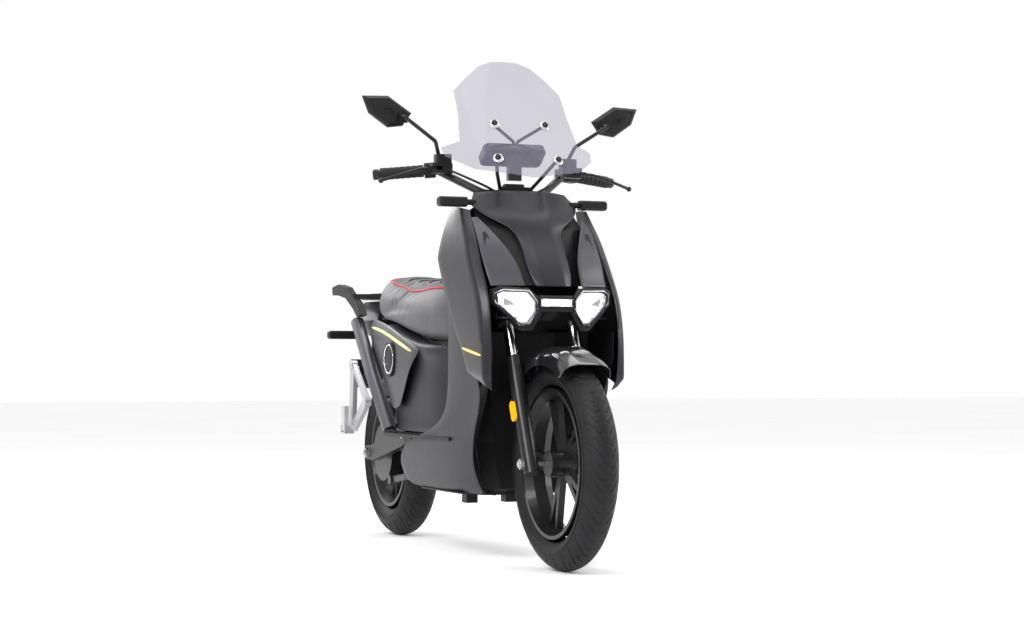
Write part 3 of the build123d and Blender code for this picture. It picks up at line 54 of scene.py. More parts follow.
def make_camera():
    """Level camera a few metres in front, off to the scooter's right side."""
    data = bpy.data.cameras.new("camera")
    data.lens = LENS_MM
    data.sensor_width = 36
    camera = bpy.data.objects.new("camera", data)
    bpy.context.collection.objects.link(camera)
    camera.location = CAMERA_AT
    camera.rotation_euler = (math.pi / 2 + CAMERA_UP, 0, -CAMERA_TURN)
    bpy.context.scene.camera = camera


def area_light(name, at, aim, size, power, colour=(1, 1, 1)):
    """Soft rectangular light aimed at a point."""
    data = bpy.data.lights.new(name, "AREA")
    data.shape = "RECTANGLE"
    data.size, data.size_y = size
    data.energy = power
    data.color = colour
    lamp = bpy.data.objects.new(name, data)
    bpy.context.collection.objects.link(lamp)
    lamp.location = at
    lamp.rotation_euler = (Vector(aim) - Vector(at)).to_track_quat("-Z", "Y").to_euler()


def make_studio():
    """White floor, bright even world and large soft lights."""
    bpy.context.scene.view_settings.view_transform = "Standard"
    world = bpy.data.worlds.new("studio")
    bpy.context.scene.world = world
    world.use_nodes = True
    background = world.node_tree.nodes["Background"]
    background.inputs["Color"].default_value = (1.0, 1.0, 1.0, 1)
    background.inputs["Strength"].default_value = 1.0
    area_light("key", (-3.4, -2.6, 3.6), (0, 0, 0.6), (2.2, 2.2), 190)
    area_light("top", (0.4, 0.2, 4.4), (0, 0, 0.5), (2.6, 3.4), 80)
    area_light("rim", (3.4, -1.2, 2.2), (0, -0.2, 0.7), (1.2, 2.4), 60)
    area_light("back", (-1.2, 4.2, 2.6), (0, 0.4, 0.6), (2.4, 1.6), 60)
    bm = bmesh.new()
    bmesh.ops.create_grid(bm, x_segments=2, y_segments=2, size=30)
    mesh = bpy.data.meshes.new("floor")
    bm.to_mesh(mesh)
    floor = bpy.data.objects.new("floor", mesh)
    bpy.context.collection.objects.link(floor)
    floor.data.materials.append(plain_floor())


# ---------------------------------------------------------------- materials
def new_material(name, base, rough, metal=0.0):
    """Material with its principled shader at hand."""
    material = bpy.data.materials.new(name)
    material.use_nodes = True
    shader = material.node_tree.nodes["Principled BSDF"]
    shader.inputs["Base Color"].default_value = (*base, 1)
    shader.inputs["Roughness"].default_value = rough
    shader.inputs["Metallic"].default_value = metal
    shader.inputs["Specular IOR Level"].default_value = 0.22
    return material, material.node_tree, shader


def node(tree, kind, **values):
    """Adds a shader node and sets its named inputs."""
    made = tree.nodes.new(kind)
    for key, value in values.items():
        made.inputs[key].default_value = value
    return made


def noise(tree, scale, detail=2.0, rough=0.5, stretch=(1, 1, 1)):
    """Noise in object space, metres times scale."""
    place = tree.nodes.new("ShaderNodeTexCoord")
    mapping = node(tree, "ShaderNodeMapping", Scale=stretch)
    tree.links.new(place.outputs["Object"], mapping.inputs["Vector"])
    made = node(tree, "ShaderNodeTexNoise", Scale=scale, Detail=detail, Roughness=rough)
    tree.links.new(mapping.outputs["Vector"], made.inputs["Vector"])
    return made.outputs["Fac"]


def ramp(tree, factor, low, high, start=0.3, end=0.7):
    """Colour between low and high as factor goes from start to end."""
    made = tree.nodes.new("ShaderNodeValToRGB")
    made.color_ramp.elements[0].position = start
    made.color_ramp.elements[1].position = end
    made.color_ramp.elements[0].color = (*low, 1)
    made.color_ramp.elements[1].color = (*high, 1)
    tree.links.new(factor, made.inputs["Fac"])
    return made.outputs["Color"]


def spread(tree, factor, low, high):
    """Number between low and high."""
    made = node(tree, "ShaderNodeMapRange", **{"To Min": low, "To Max": high})
    tree.links.new(factor, made.inputs["Value"])
    return made.outputs["Result"]


def add_bump(tree, shader, factor, distance, strength=1.0):
    """Bump from a height field, distance in metres."""
    made = node(tree, "ShaderNodeBump", Distance=distance, Strength=strength)
    tree.links.new(factor, made.inputs["Height"])
    tree.links.new(made.outputs["Normal"], shader.inputs["Normal"])


def scaled(colour, share):
    """A colour made lighter or darker."""
    return tuple(min(1.0, c * share) for c in colour)


def textured(name, base, rough, metal=0.0, grain=900.0, depth=0.00006, swing=0.12, coat=0.0,
             rough_swing=0.06, broad=7.0):
    """General moulded or painted finish: broad tone change, fine grain and uneven gloss."""
    material, tree, shader = new_material(name, base, rough, metal)
    tone = noise(tree, broad, 3.0)
    tree.links.new(ramp(tree, tone, scaled(base, 1 - swing), scaled(base, 1 + swing)),
                   shader.inputs["Base Color"])
    fine = noise(tree, grain, 2.0, 0.6)
    tree.links.new(spread(tree, noise(tree, broad * 9, 4.0), rough - rough_swing, rough + rough_swing),
                   shader.inputs["Roughness"])
    add_bump(tree, shader, fine, depth)
    if coat:
        shader.inputs["Coat Weight"].default_value = coat
        shader.inputs["Coat Roughness"].default_value = 0.08
    return material


def metallic_paint(name, base, rough, coat=0.25):
    """Satin metallic paint with small flakes."""
    material, tree, shader = new_material(name, base, rough, 0.55)
    place = tree.nodes.new("ShaderNodeTexCoord")
    flakes = node(tree, "ShaderNodeTexVoronoi", Scale=2600.0)
    tree.links.new(place.outputs["Object"], flakes.inputs["Vector"])
    tree.links.new(ramp(tree, flakes.outputs["Distance"], scaled(base, 1.22), scaled(base, 0.86), 0.0, 0.6),
                   shader.inputs["Base Color"])
    tree.links.new(spread(tree, noise(tree, 30.0, 4.0), rough - 0.04, rough + 0.05),
                   shader.inputs["Roughness"])
    add_bump(tree, shader, noise(tree, 700.0, 1.0), 0.00002)
    shader.inputs["Coat Weight"].default_value = coat
    shader.inputs["Coat Roughness"].default_value = 0.22
    return material


def plain_floor():
    """Pale studio floor with a hardly visible mottle."""
    material, tree, shader = new_material("floor_white", (0.93, 0.93, 0.935), 0.75)
    tree.links.new(ramp(tree, noise(tree, 0.8), (0.92, 0.92, 0.925), (0.945, 0.945, 0.95)),
                   shader.inputs["Base Color"])
    return material


def tyre_rubber():
    """Dull rubber with a fine grain and an uneven tone."""
    return textured("tyre_rubber", (0.007, 0.007, 0.008), 0.55, grain=1500.0, depth=0.0001, swing=0.25,
                    broad=12.0)


def brushed(name, base, rough, stretch):
    """Turned or brushed metal with streaks along one way."""
    material, tree, shader = new_material(name, base, rough, 1.0)
    streaks = noise(tree, 260.0, 3.0, 0.6, stretch)
    tree.links.new(ramp(tree, streaks, scaled(base, 0.8), scaled(base, 1.12)), shader.inputs["Base Color"])
    tree.links.new(spread(tree, streaks, rough - 0.07, rough + 0.1), shader.inputs["Roughness"])
    add_bump(tree, shader, streaks, 0.00003)
    return material


def screen_acrylic():
    """Pale smoked acrylic that lets the parts behind show."""
    material, tree, shader = new_material("screen_acrylic", (0.17, 0.16, 0.22), 0.04)
    tree.links.new(ramp(tree, noise(tree, 3.0), (0.15, 0.14, 0.20), (0.20, 0.19, 0.25)),
                   shader.inputs["Base Color"])
    shader.inputs["Alpha"].default_value = 0.30
    shader.inputs["IOR"].default_value = 1.45
    material.surface_render_method = "BLENDED"
    return material


def lamp_glass():
    """Clear outer lens."""
    material, tree, shader = new_material("lamp_glass", (0.92, 0.95, 1.0), 0.03)
    tree.links.new(spread(tree, noise(tree, 40.0), 0.02, 0.06), shader.inputs["Roughness"])
    shader.inputs["Alpha"].default_value = 0.18
    material.surface_render_method = "BLENDED"
    return material


def lamp_glow(name, colour, power):
    """Lit light guide with a soft uneven glow."""
    material, tree, shader = new_material(name, colour, 0.3)
    glow = ramp(tree, noise(tree, 160.0, 2.0), scaled(colour, 0.85), colour)
    tree.links.new(glow, shader.inputs["Emission Color"])
    shader.inputs["Emission Strength"].default_value = power
    return material


def reflector_glow():
    """Lit faceted reflector: bright cells with a few grey ones."""
    material, tree, shader = new_material("reflector_glow", (0.9, 0.92, 0.95), 0.15, 0.6)
    place = tree.nodes.new("ShaderNodeTexCoord")
    cells = node(tree, "ShaderNodeTexVoronoi", Scale=120.0)
    tree.links.new(place.outputs["Object"], cells.inputs["Vector"])
    tree.links.new(ramp(tree, cells.outputs["Color"], (0.05, 0.05, 0.06), (1, 1, 1), 0.42, 0.66),
                   shader.inputs["Emission Color"])
    shader.inputs["Emission Strength"].default_value = 1.15
    return material


def seat_vinyl(name, base):
    """Grained vinyl: small pebbles, slight sheen and creases of tone."""
    material, tree, shader = new_material(name, base, 0.5)
    place = tree.nodes.new("ShaderNodeTexCoord")
    pebbles = node(tree, "ShaderNodeTexVoronoi", Scale=520.0, Randomness=0.9)
    tree.links.new(place.outputs["Object"], pebbles.inputs["Vector"])
    tree.links.new(ramp(tree, noise(tree, 14.0, 4.0), scaled(base, 0.86), scaled(base, 1.14)),
                   shader.inputs["Base Color"])
    tree.links.new(spread(tree, noise(tree, 60.0, 3.0), 0.42, 0.58), shader.inputs["Roughness"])
    add_bump(tree, shader, pebbles.outputs["Distance"], 0.00022)
    shader.inputs["Sheen Weight"].default_value = 0.12
    return material


MAT = {
    "dark_panel": metallic_paint("anthracite_paint", (0.019, 0.019, 0.023), 0.42),
    "grey_panel": metallic_paint("grey_paint", (0.052, 0.052, 0.060), 0.40),
    "black_plastic": textured("black_plastic", (0.006, 0.006, 0.007), 0.45, grain=1300.0, depth=0.00012),
    "dark_plastic": textured("dark_plastic", (0.011, 0.010, 0.014), 0.45, grain=1300.0, depth=0.0001),
    "gloss_black": textured("gloss_black", (0.012, 0.012, 0.014), 0.12, grain=60.0, depth=0.00001, coat=0.8,
                            rough_swing=0.03),
    "clear_screen": screen_acrylic(),
    "lamp_lens": lamp_glass(),
    "tyre": tyre_rubber(),
    "black_metal": textured("black_metal", (0.012, 0.012, 0.013), 0.38, 0.3, grain=800.0, depth=0.00006,
                            coat=0.2),
    "grey_tube": metallic_paint("grey_tube_paint", (0.10, 0.10, 0.112), 0.34, 0.4),
    "steel": brushed("turned_steel", (0.55, 0.55, 0.56), 0.28, (1, 6, 6)),
    "chrome": brushed("hard_chrome", (0.78, 0.78, 0.80), 0.12, (6, 6, 1)),
    "cast_alloy": textured("cast_alloy", (0.56, 0.56, 0.58), 0.42, 0.9, grain=420.0, depth=0.00016,
                           swing=0.08),
    "rubber": textured("grip_rubber", (0.009, 0.009, 0.010), 0.58, grain=1700.0, depth=0.00014),
    "seat_vinyl": seat_vinyl("seat_vinyl_grey", (0.070, 0.070, 0.078)),
    "mirror": brushed("mirror_silver", (0.86, 0.87, 0.9), 0.06, (1, 1, 1)),
    "amber": textured("amber_reflector", (0.95, 0.46, 0.01), 0.2, grain=500.0, depth=0.0003, coat=0.6),
    "frame_paint": textured("frame_paint", (0.03, 0.03, 0.033), 0.45, 0.2, grain=600.0, depth=0.00006),
    "battery_case": textured("battery_case", (0.05, 0.05, 0.055), 0.5, grain=900.0, depth=0.0001),
    "spring_paint": textured("spring_paint", (0.03, 0.03, 0.03), 0.35, 0.2, grain=500.0, depth=0.00004,
                             coat=0.3),
    "yellow": textured("yellow_stripe", (0.86, 0.58, 0.10), 0.35, grain=300.0, depth=0.00002, coat=0.3),
    "pale_yellow": textured("pale_stripe", (0.78, 0.76, 0.30), 0.35, grain=300.0, depth=0.00002, coat=0.3),
    "red": textured("red_piping", (0.55, 0.012, 0.02), 0.5, grain=700.0, depth=0.00008),
    "seat_dark": seat_vinyl("seat_vinyl_dark", (0.022, 0.021, 0.025)),
    "glow": lamp_glow("lamp_glow", (1.0, 1.0, 1.0), 5.0),
    "lamp_core": reflector_glow(),
    "lower_panel": metallic_paint("lower_grey_paint", (0.034, 0.034, 0.040), 0.5, 0.1),
    "tail_red": textured("tail_red", (0.5, 0.01, 0.015), 0.2, grain=500.0, depth=0.0002, coat=0.6),
    "screen_edge": textured("screen_edge", (0.62, 0.60, 0.70), 0.25, grain=300.0, depth=0.00002),
}


def paint_cad_nodes():
    """Gives every CAD node the finish of its record slot."""
    slots = {row["node"]: row["material_slot"] for row in frame["record"]["subparts"]}
    for name, item in NODES.items():
        item.data.materials.clear()
        item.data.materials.append(MAT[slots[name]])


# ---------------------------------------------------------------- mesh helpers, sizes in millimetres
def bake(item):
    """Turns an object's modifiers into plain mesh."""
    bpy.context.view_layer.update()
    shaped = item.evaluated_get(bpy.context.evaluated_depsgraph_get())
    mesh = bpy.data.meshes.new_from_object(shaped)
    item.modifiers.clear()
    item.data = mesh
    return item


def settle(item, material, body, nodes=()):
    """Gives a piece its material, its body and the nodes it stands for."""
    if not item.data.materials:
        item.data.materials.append(MAT[material])
    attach(item, body)
    if nodes:
        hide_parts(*nodes)
    return item


def mesh_object(name, points, faces, smooth=True):
    """New object from points in millimetres."""
    mesh = bpy.data.meshes.new(name)
    mesh.from_pydata([tuple(c * MM for c in p) for p in points], [], faces)
    mesh.update()
    for face in mesh.polygons:
        face.use_smooth = smooth
    item = bpy.data.objects.new(name, mesh)
    bpy.context.collection.objects.link(item)
    return item


def face_outward(item):
    """Turns every face of a closed piece to look outward."""
    shell = bmesh.new()
    shell.from_mesh(item.data)
    bmesh.ops.recalc_face_normals(shell, faces=shell.faces)
    shell.to_mesh(item.data)
    shell.free()


def set_creases(item, pairs, value):
    """Marks edges, given as vertex pairs, as sharp for subdivision."""
    wanted = {tuple(sorted(pair)) for pair in pairs}
    layer = item.data.attributes.new("crease_edge", "FLOAT", "EDGE")
    for edge in item.data.edges:
        if tuple(sorted(edge.vertices)) in wanted:
            layer.data[edge.index].value = value


def grid(name, rows, sharp_columns=(), sharp_rows=(), crease=0.85, wall=2.5, levels=2, rounding=1.0,
         ring=False,
         corners=()):
    """Moulded panel through rows of points: smooth, walled inward, with eased edges."""
    width = len(rows[0])
    points = [p for row in rows for p in row]
    span = width if ring else width - 1
    faces = []
    for r in range(len(rows) - 1):
        for c in range(span):
            d = (c + 1) % width
            faces.append((r * width + c, r * width + d, (r + 1) * width + d, (r + 1) * width + c))
    item = mesh_object(name, points, faces)
    pairs = [(r * width + c, (r + 1) * width + c) for c in sharp_columns for r in range(len(rows) - 1)]
    pairs += [(r * width + c, r * width + (c + 1) % width) for r in sharp_rows for c in range(span)]
    set_creases(item, pairs, crease)
    if corners:
        layer = item.data.attributes.new("crease_vert", "FLOAT", "POINT")
        for r, c in corners:
            layer.data[(r % len(rows)) * width + c % width].value = 0.8
    soften = item.modifiers.new("soften", "SUBSURF")
    soften.levels = soften.render_levels = levels
    if wall:
        thick = item.modifiers.new("wall", "SOLIDIFY")
        thick.thickness = wall * MM
        thick.offset = -1
        thick.use_even_offset = True
    if rounding:
        ease = item.modifiers.new("ease", "BEVEL")
        ease.width = rounding * MM
        ease.segments = 2
        ease.limit_method = "ANGLE"
        ease.angle_limit = math.radians(50)
    return bake(item)


def flipped(rows):
    """The same rows on the other side, still facing outward."""
    return [[(-x, y, z) for x, y, z in reversed(row)] for row in rows]


def both_sides(name, rows, material, body, nodes, slot, sharp_columns=(), corners=(), **options):
    """A left piece and its mirror image."""
    last = len(rows[0]) - 1
    left = grid("left_" + name, rows, sharp_columns, corners=corners, **options)
    right = grid("right_" + name, flipped(rows), [last - c for c in sharp_columns],
                 corners=[(r, last - c % (last + 1)) for r, c in corners], **options)
    return [settle(piece, material, body, nodes) for piece in (left, right)]


def smooth_path(points, steps=8):
    """Catmull-Rom path through points."""
    result = []
    for i in range(len(points) - 1):
        a = Vector(points[max(i - 1, 0)])
        b = Vector(points[i])
        c = Vector(points[i + 1])
        d = Vector(points[min(i + 2, len(points) - 1)])
        for k in range(steps):
            t = k / steps
            result.append(0.5 * (2 * b + (c - a) * t + (2 * a - 5 * b + 4 * c - d) * t ** 2
                                 + (3 * b - a - 3 * c + d) * t ** 3))
    result.append(Vector(points[-1]))
    return result


def tube(name, points, radius, material, body, sides=12, closed=False, smooth=True):
    """Round bead, hose or wire along a path."""
    path = smooth_path(points) if smooth and len(points) > 2 else [Vector(p) for p in points]
    count = len(path)
    verts, faces = [], []
    up = Vector((0, 0, 1))
    for i, at in enumerate(path):
        ahead = path[(i + 1) % count] if closed or i < count - 1 else at
        behind = path[i - 1] if closed or i > 0 else at
        along = (ahead - behind).normalized()
        across = along.cross(up)
        if across.length < 0.2:
            across = along.cross(Vector((1, 0, 0)))
        across.normalize()
        rise = across.cross(along).normalized()
        for k in range(sides):
            turn = 2 * math.pi * k / sides
            verts.append(at + radius * (math.cos(turn) * across + math.sin(turn) * rise))
    for i in range(count if closed else count - 1):
        j = (i + 1) % count
        for k in range(sides):
            m = (k + 1) % sides
            faces.append((i * sides + k, i * sides + m, j * sides + m, j * sides + k))
    if not closed:
        faces.append(tuple(range(sides)))
        faces.append(tuple(range((count - 1) * sides, count * sides))[::-1])
    item = mesh_object(name, verts, faces)
    face_outward(item)
    return settle(item, material, body)


def ribbon(name, low, high, lift, material, body):
    """Thin raised stripe between two rows of points."""
    item = grid(name, [high, low], wall=lift, levels=1, rounding=0.3)
    return settle(item, material, body)


# ---------------------------------------------------------------- front body
def front_body():
    """Centre hood, side hood panels with vents and the two leg-shield wings."""
    half_rows = [  # edge, shoulder and spine of the centre hood, from the top down
        [(136, -350, 1020), (100, -374, 1023), (60, -390, 1025)],
        [(158, -384, 984), (112, -406, 988), (50, -424, 990)],
        [(137, -429, 952), (90, -447, 954), (40, -467, 950)],
        [(94, -462, 928), (66, -475, 924), (34, -490, 920)],
        [(68, -481, 908), (55, -489, 902), (33, -508, 892)],
        [(60, -515, 868), (50, -524, 862), (32, -537, 856)],
        [(63, -551, 820), (51, -562, 816), (32, -573, 812)],
        [(59, -582, 780), (48, -589, 778), (32, -597, 776)],
        [(50, -598, 753), (42, -603, 753), (30, -609, 753)]]
    rows = [half + [(0, half[-1][1] - 2, half[-1][2])] + [(-x, y, z) for x, y, z in half[::-1]]
            for half in half_rows]
    hood = grid("front_hood_cover", rows, (2, 4), crease=0.7,
                corners=[(0, 0), (0, 6), (1, 0), (1, 6), (8, 0), (8, 6)])
    settle(hood, "dark_panel", "root", ["front_hood"])

    cheek = [[(170, -420, 946), (163, -426, 946), (155, -432, 946)],
             [(172, -448, 919), (156, -456, 919), (138, -463, 919)],
             [(174, -486, 875), (148, -497, 875), (113, -508, 875)],
             [(174, -512, 836), (138, -525, 836), (95, -540, 836)],
             [(173, -534, 805), (132, -549, 805), (86, -564, 805)],
             [(170, -552, 774), (128, -568, 774), (84, -584, 774)],
             [(168, -567, 754), (126, -583, 754), (82, -598, 754)]]
    both_sides("hood_cheek", cheek, "grey_panel", "root", ["hood_side_panels"], "grey_panel",
               corners=[(0, 0), (0, 2), (6, 0), (6, 2)])

    wing = [[(186, -318, 977), (190, -355, 979), (187, -390, 973), (167, -406, 967)],
            [(200, -303, 940), (200, -360, 940), (193, -418, 937), (172, -434, 932)],
            [(211, -285, 880), (208, -376, 884), (199, -466, 883), (177, -484, 880)],
            [(215, -277, 841), (212, -385, 838), (204, -492, 838), (179, -512, 834)],
            [(212, -305, 775), (211, -425, 772), (206, -540, 770), (182, -560, 768)],
            [(207, -336, 709), (209, -463, 707), (206, -582, 707), (184, -600, 705)],
            [(202, -391, 625), (206, -498, 620), (206, -600, 622), (184, -613, 620)],
            [(200, -428, 588), (204, -516, 576), (206, -603, 565), (183, -612, 562)],
            [(197, -465, 525), (201, -540, 515), (205, -604, 506), (180, -607, 502)],
            [(194, -500, 512), (195, -550, 500), (190, -592, 484), (173, -590, 474)]]
    # The wings get the dark anthracite paint rather than the grey of their slot; the darker colour is painted
    # shade for their side faces.
    both_sides("leg_shield_wing", wing, "dark_panel", "root", ["leg_shield_wings"], "grey_panel", (2,),
               sharp_rows=(8,),
               corners=[(0, 0), (0, 3), (3, 0), (6, 0), (8, 0), (9, 0), (9, 3)])
    for side, label in ((1, "left"), (-1, "right")):
        high = [(200.6, -424, 594), (205.2, -516, 582), (207.4, -600, 571)]
        low = [(200.4, -428, 586), (204.8, -516, 574), (207.2, -600, 563)]
        if side < 0:
            high, low = flipped([high])[0], flipped([low])[0]
        ribbon(label + "_wing_stripe", low, high, 0.8, "yellow", "root")
        seam = [(side * 183, -514, 834), (side * 184.5, -566, 768), (side * 185.5, -599, 709),
                (side * 185, -611, 640)]
        tube(label + "_wing_seam", seam, 1.3, "black_plastic", "root", 8)
        rim_path = [(150, -466, 902), (133, -498, 858), (120, -532, 812), (128, -545, 792)]
        vent_fill = [[(157, -463, 906), (152, -466, 905)], [(159, -487, 872), (137, -493, 866)],
                     [(160, -511, 833), (123, -524, 827)], [(152, -545, 785), (146, -547, 786)]]
        vent_fill = [[(side * x, y - 7.5, z) for x, y, z in row] for row in vent_fill]
        if side < 0:
            vent_fill = [row[::-1] for row in vent_fill]
        settle(grid(label + "_hood_vent", vent_fill, wall=2.0, levels=2), "dark_plastic", "root")
        tube(label + "_vent_lip", [(side * x, y - 7.5, z) for x, y, z in rim_path], 3.2, "black_plastic",
             "root", 10)


BADGE_AT = (307, 563)                  # Y and Z of the round badge on each side panel


def lower_body():
    """Sweeping lower fairing, centre tunnel, side panels with badge and stripe, footboard ribs."""
    fairing = [
        [(176, -258, 702), (188, -288, 702), (197, -322, 696), (199, -352, 686), (199, -384, 670)],
        [(175, -256, 612), (187, -288, 612), (195, -345, 607), (197, -405, 590), (196, -462, 560)],
        [(175, -254, 520), (186, -290, 520), (192, -370, 517), (193, -450, 512), (191, -548, 502)],
        [(176, -248, 440), (187, -288, 440), (189, -370, 438), (187, -445, 436), (182, -522, 430)],
        [(181, -222, 390), (190, -272, 388), (188, -345, 384), (183, -400, 376), (174, -458, 364)],
        [(187, -110, 350), (191, -200, 352), (187, -292, 348), (178, -365, 340), (165, -426, 330)],
        [(184, 90, 326), (189, -90, 326), (184, -240, 322), (174, -340, 315), (161, -412, 302)],
        [(176, 180, 262), (180, -60, 262), (175, -220, 262), (168, -310, 262), (153, -395, 262)],
        [(158, 150, 206), (160, -60, 204), (155, -200, 202), (146, -290, 201), (125, -380, 201)],
        [(138, 140, 188), (140, -60, 187), (136, -200, 187), (126, -285, 187), (108, -370, 187)]]
    both_sides("lower_fairing", fairing, "lower_panel", "root", ["lower_fairings"], "grey_panel", levels=3)

    # Black strip along the front edge of each lower fairing, where that face is dark.
    edge = [[(190, -545, 506), (171, -560, 506)], [(181, -519, 430), (164, -512, 430)],
            [(173, -455, 364), (153, -438, 364)], [(164, -423, 330), (147, -400, 330)],
            [(160, -409, 302), (140, -390, 302)], [(152, -392, 262), (126, -374, 262)],
            [(124, -377, 201), (104, -358, 201)], [(107, -367, 187), (90, -350, 187)]]
    both_sides("fairing_front_dark_strip", edge, "black_plastic", "root", (), None, wall=2.0)

    half_rows = [
        [(60, 400, 668), (60, 250, 634), (60, 100, 600), (60, -28, 598), (44, -74, 598), (0, -84, 598)],
        [(132, 400, 674), (136, 250, 640), (136, 100, 612), (130, -28, 606), (92, -88, 606), (0, -108, 606)],
        [(146, 400, 664), (150, 250, 630), (151, 100, 602), (142, -34, 592), (98, -98, 590), (0, -120, 588)],
        [(144, 400, 640), (148, 250, 606), (148, 100, 578), (138, -28, 566), (95, -92, 562), (0, -116, 560)],
        [(134, 390, 610), (135, 250, 580), (134, 100, 556), (127, -18, 546), (85, -82, 542), (0, -106, 540)],
        [(131, 360, 500), (131, 240, 490), (130, 100, 480), (123, -20, 480), (80, -88, 478), (0, -112, 476)],
        [(127, 340, 420), (127, 230, 414), (126, 92, 410), (120, -24, 408), (76, -98, 406), (0, -120, 404)],
        [(125, 330, 370), (125, 225, 366), (124, 90, 364), (120, -32, 362), (78, -108, 360), (0, -128, 358)],
        [(133, 328, 348), (133, 222, 347), (132, 88, 346), (128, -40, 346), (86, -120, 346), (0, -140, 346)]]
    rows = [half + [(-x, y, z) for x, y, z in half[-2::-1]] for half in half_rows]
    settle(grid("tunnel_cover", rows, wall=3.0), "lower_panel", "root", ["under_seat_cowl"])

    side = [[(124, 572, 691), (144, 402, 676), (152, 222, 634), (148, 70, 590)],
            [(136, 587, 655), (155, 402, 640), (163, 236, 602), (157, 92, 562)],
            [(138, 540, 600), (157, 392, 580), (164, 262, 552), (158, 140, 528)],
            [(138, 452, 520), (154, 362, 500), (158, 272, 478), (152, 192, 472)],
            [(137, 374, 436), (146, 332, 420), (149, 292, 410), (146, 252, 422)]]
    both_sides("side_cover", side, "grey_panel", "root", ["side_panels"], "grey_panel",
               corners=[(0, 0), (0, 3), (1, 0), (4, 0), (4, 3)])
    for sign, label in ((1, "left"), (-1, "right")):
        high = [(141, 548, 670), (152.5, 400, 656), (159.5, 240, 620), (155, 116, 588)]
        low = [(143, 550, 661), (154, 401, 647), (160.5, 243, 611), (156, 120, 579)]
        if sign < 0:
            high, low = flipped([high])[0], flipped([low])[0]
        ribbon(label + "_side_stripe", low, high, 2.0, "pale_yellow", "root")
        ring = badge_circle(sign * 164, 43)
        tube(label + "_badge_ring", ring, 2.4, "chrome", "root", 10, closed=True, smooth=False)
        outer = badge_circle(sign * 162, 49)
        tube(label + "_badge_surround", outer, 5.0, "black_plastic", "root", 10, closed=True, smooth=False)
        lathe(label + "_badge_disc", (sign * 150, *BADGE_AT), (sign, 0, 0),
              [(41.5, 10), (41.5, 12), (30, 14), (12, 15), (0.01, 15.2)], "black_plastic", "root")
        for k in range(9):
            y = -230 + 62 * k
            bar = [(sign * (141 + 3 * (k % 2)), y, 343.4), (sign * 184, y, 343.4)]
            tube(label + "_board_rib_%d" % k, bar, 2.6, "rubber", "root", 8)


def angles(count):
    """Even turn angles round a circle."""
    return [2 * math.pi * k / count for k in range(count)]


def badge_circle(x, radius):
    """Circle of points round the side badge."""
    y, z = BADGE_AT
    return [(x, y + radius * math.cos(a), z + radius * math.sin(a)) for a in angles(48)]


def lathe(name, centre, axis, profile, material, body, segments=64):
    """Turned piece: profile of (radius, distance along the axis)."""
    along = Vector(axis).normalized()
    across = along.orthogonal().normalized()
    rise = along.cross(across)
    points, faces = [], []
    count = len(profile)
    for a in angles(segments):
        out = math.cos(a) * across + math.sin(a) * rise
        points += [Vector(centre) + out * radius + along * reach for radius, reach in profile]
    for s in range(segments):
        t = (s + 1) % segments
        faces += [(s * count + k, t * count + k, t * count + k + 1, s * count + k + 1)
                  for k in range(count - 1)]
    item = mesh_object(name, points, faces)
    face_outward(item)
    return settle(item, material, body)


# ---------------------------------------------------------------- wheels and mudguard
TREAD_STEPS = 760
TREAD_PITCHES = 30
TREAD_DEPTH = 2.6
SIPE_HALF_WIDTH = 2.4
TREAD_WRAP = math.radians(74)          # how far the crown's arc turns to each side
FRONT_AXLE_Y, FRONT_TYRE_R, FRONT_BEAD_R = -667, 283, 207
REAR_AXLE_Y, REAR_TYRE_R, REAR_BEAD_R = 673, 266, 182
MUDGUARD_R = 299                       # shoulder of the mudguard from the front axle
MUDGUARD_HALF_WIDTH = 71


def tyre(name, centre_y, radius, half_width, bead_radius, body, node_name):
    """Road tyre whose sipes are cut into the crown."""
    profile = [(-half_width * 0.62, bead_radius), (-half_width * 0.86, bead_radius + 14)]
    steps = 44
    crown = radius - 60
    wrap_cos = math.cos(TREAD_WRAP)
    for k in range(steps + 1):
        share = -1 + 2 * k / steps
        turn = share * TREAD_WRAP
        profile.append((half_width * math.sin(turn) / math.sin(TREAD_WRAP),
                        crown + 10 + 50 * (math.cos(turn) - wrap_cos) / (1 - wrap_cos)))
    profile += [(half_width * 0.86, bead_radius + 14), (half_width * 0.62, bead_radius)]
    count = len(profile)
    points = []
    for step in range(TREAD_STEPS):
        angle = 2 * math.pi * step / TREAD_STEPS
        for k, (x, r) in enumerate(profile):
            cut = 0.0
            share = abs(-1 + 2 * (k - 2) / steps)
            if 2 <= k < steps + 3:
                drift = 0.0 if share < 0.22 else 1.15 * (share - 0.22) ** 0.8
                side_shift = 0.5 if x > 0 else 0.0
                place = (angle / (2 * math.pi) * TREAD_PITCHES + drift + side_shift) % 1.0
                near = abs(place - 0.5) * 2 * math.pi * radius / TREAD_PITCHES
                if 0.06 < share < 0.86 and near < SIPE_HALF_WIDTH:
                    cut = TREAD_DEPTH
                half_place = (place + 0.5) % 1.0
                near = abs(half_place - 0.5) * 2 * math.pi * radius / TREAD_PITCHES
                if 0.16 < share < 0.42 and near < SIPE_HALF_WIDTH:
                    cut = TREAD_DEPTH
            r -= cut
            points.append((x, centre_y + r * math.cos(angle), radius + r * math.sin(angle)))
    faces = []
    for step in range(TREAD_STEPS):
        after = (step + 1) % TREAD_STEPS
        faces += [(step * count + k, step * count + k + 1, after * count + k + 1, after * count + k)
                  for k in range(count - 1)]
    item = mesh_object(name, points, faces)
    settle(item, "tyre", body, [node_name])
    for side in (-1, 1):
        for lift, size in ((26, 0.9), (33, 0.7)):
            loop = [(side * half_width * (0.93 + 0.002 * lift), centre_y + (bead_radius + lift) * math.cos(a),
                     radius + (bead_radius + lift) * math.sin(a)) for a in angles(96)]
            label = "%s_%s_ring_%d" % (name, "left" if side > 0 else "right", lift)
            tube(label, loop, size, "tyre", body, 6, closed=True, smooth=False)


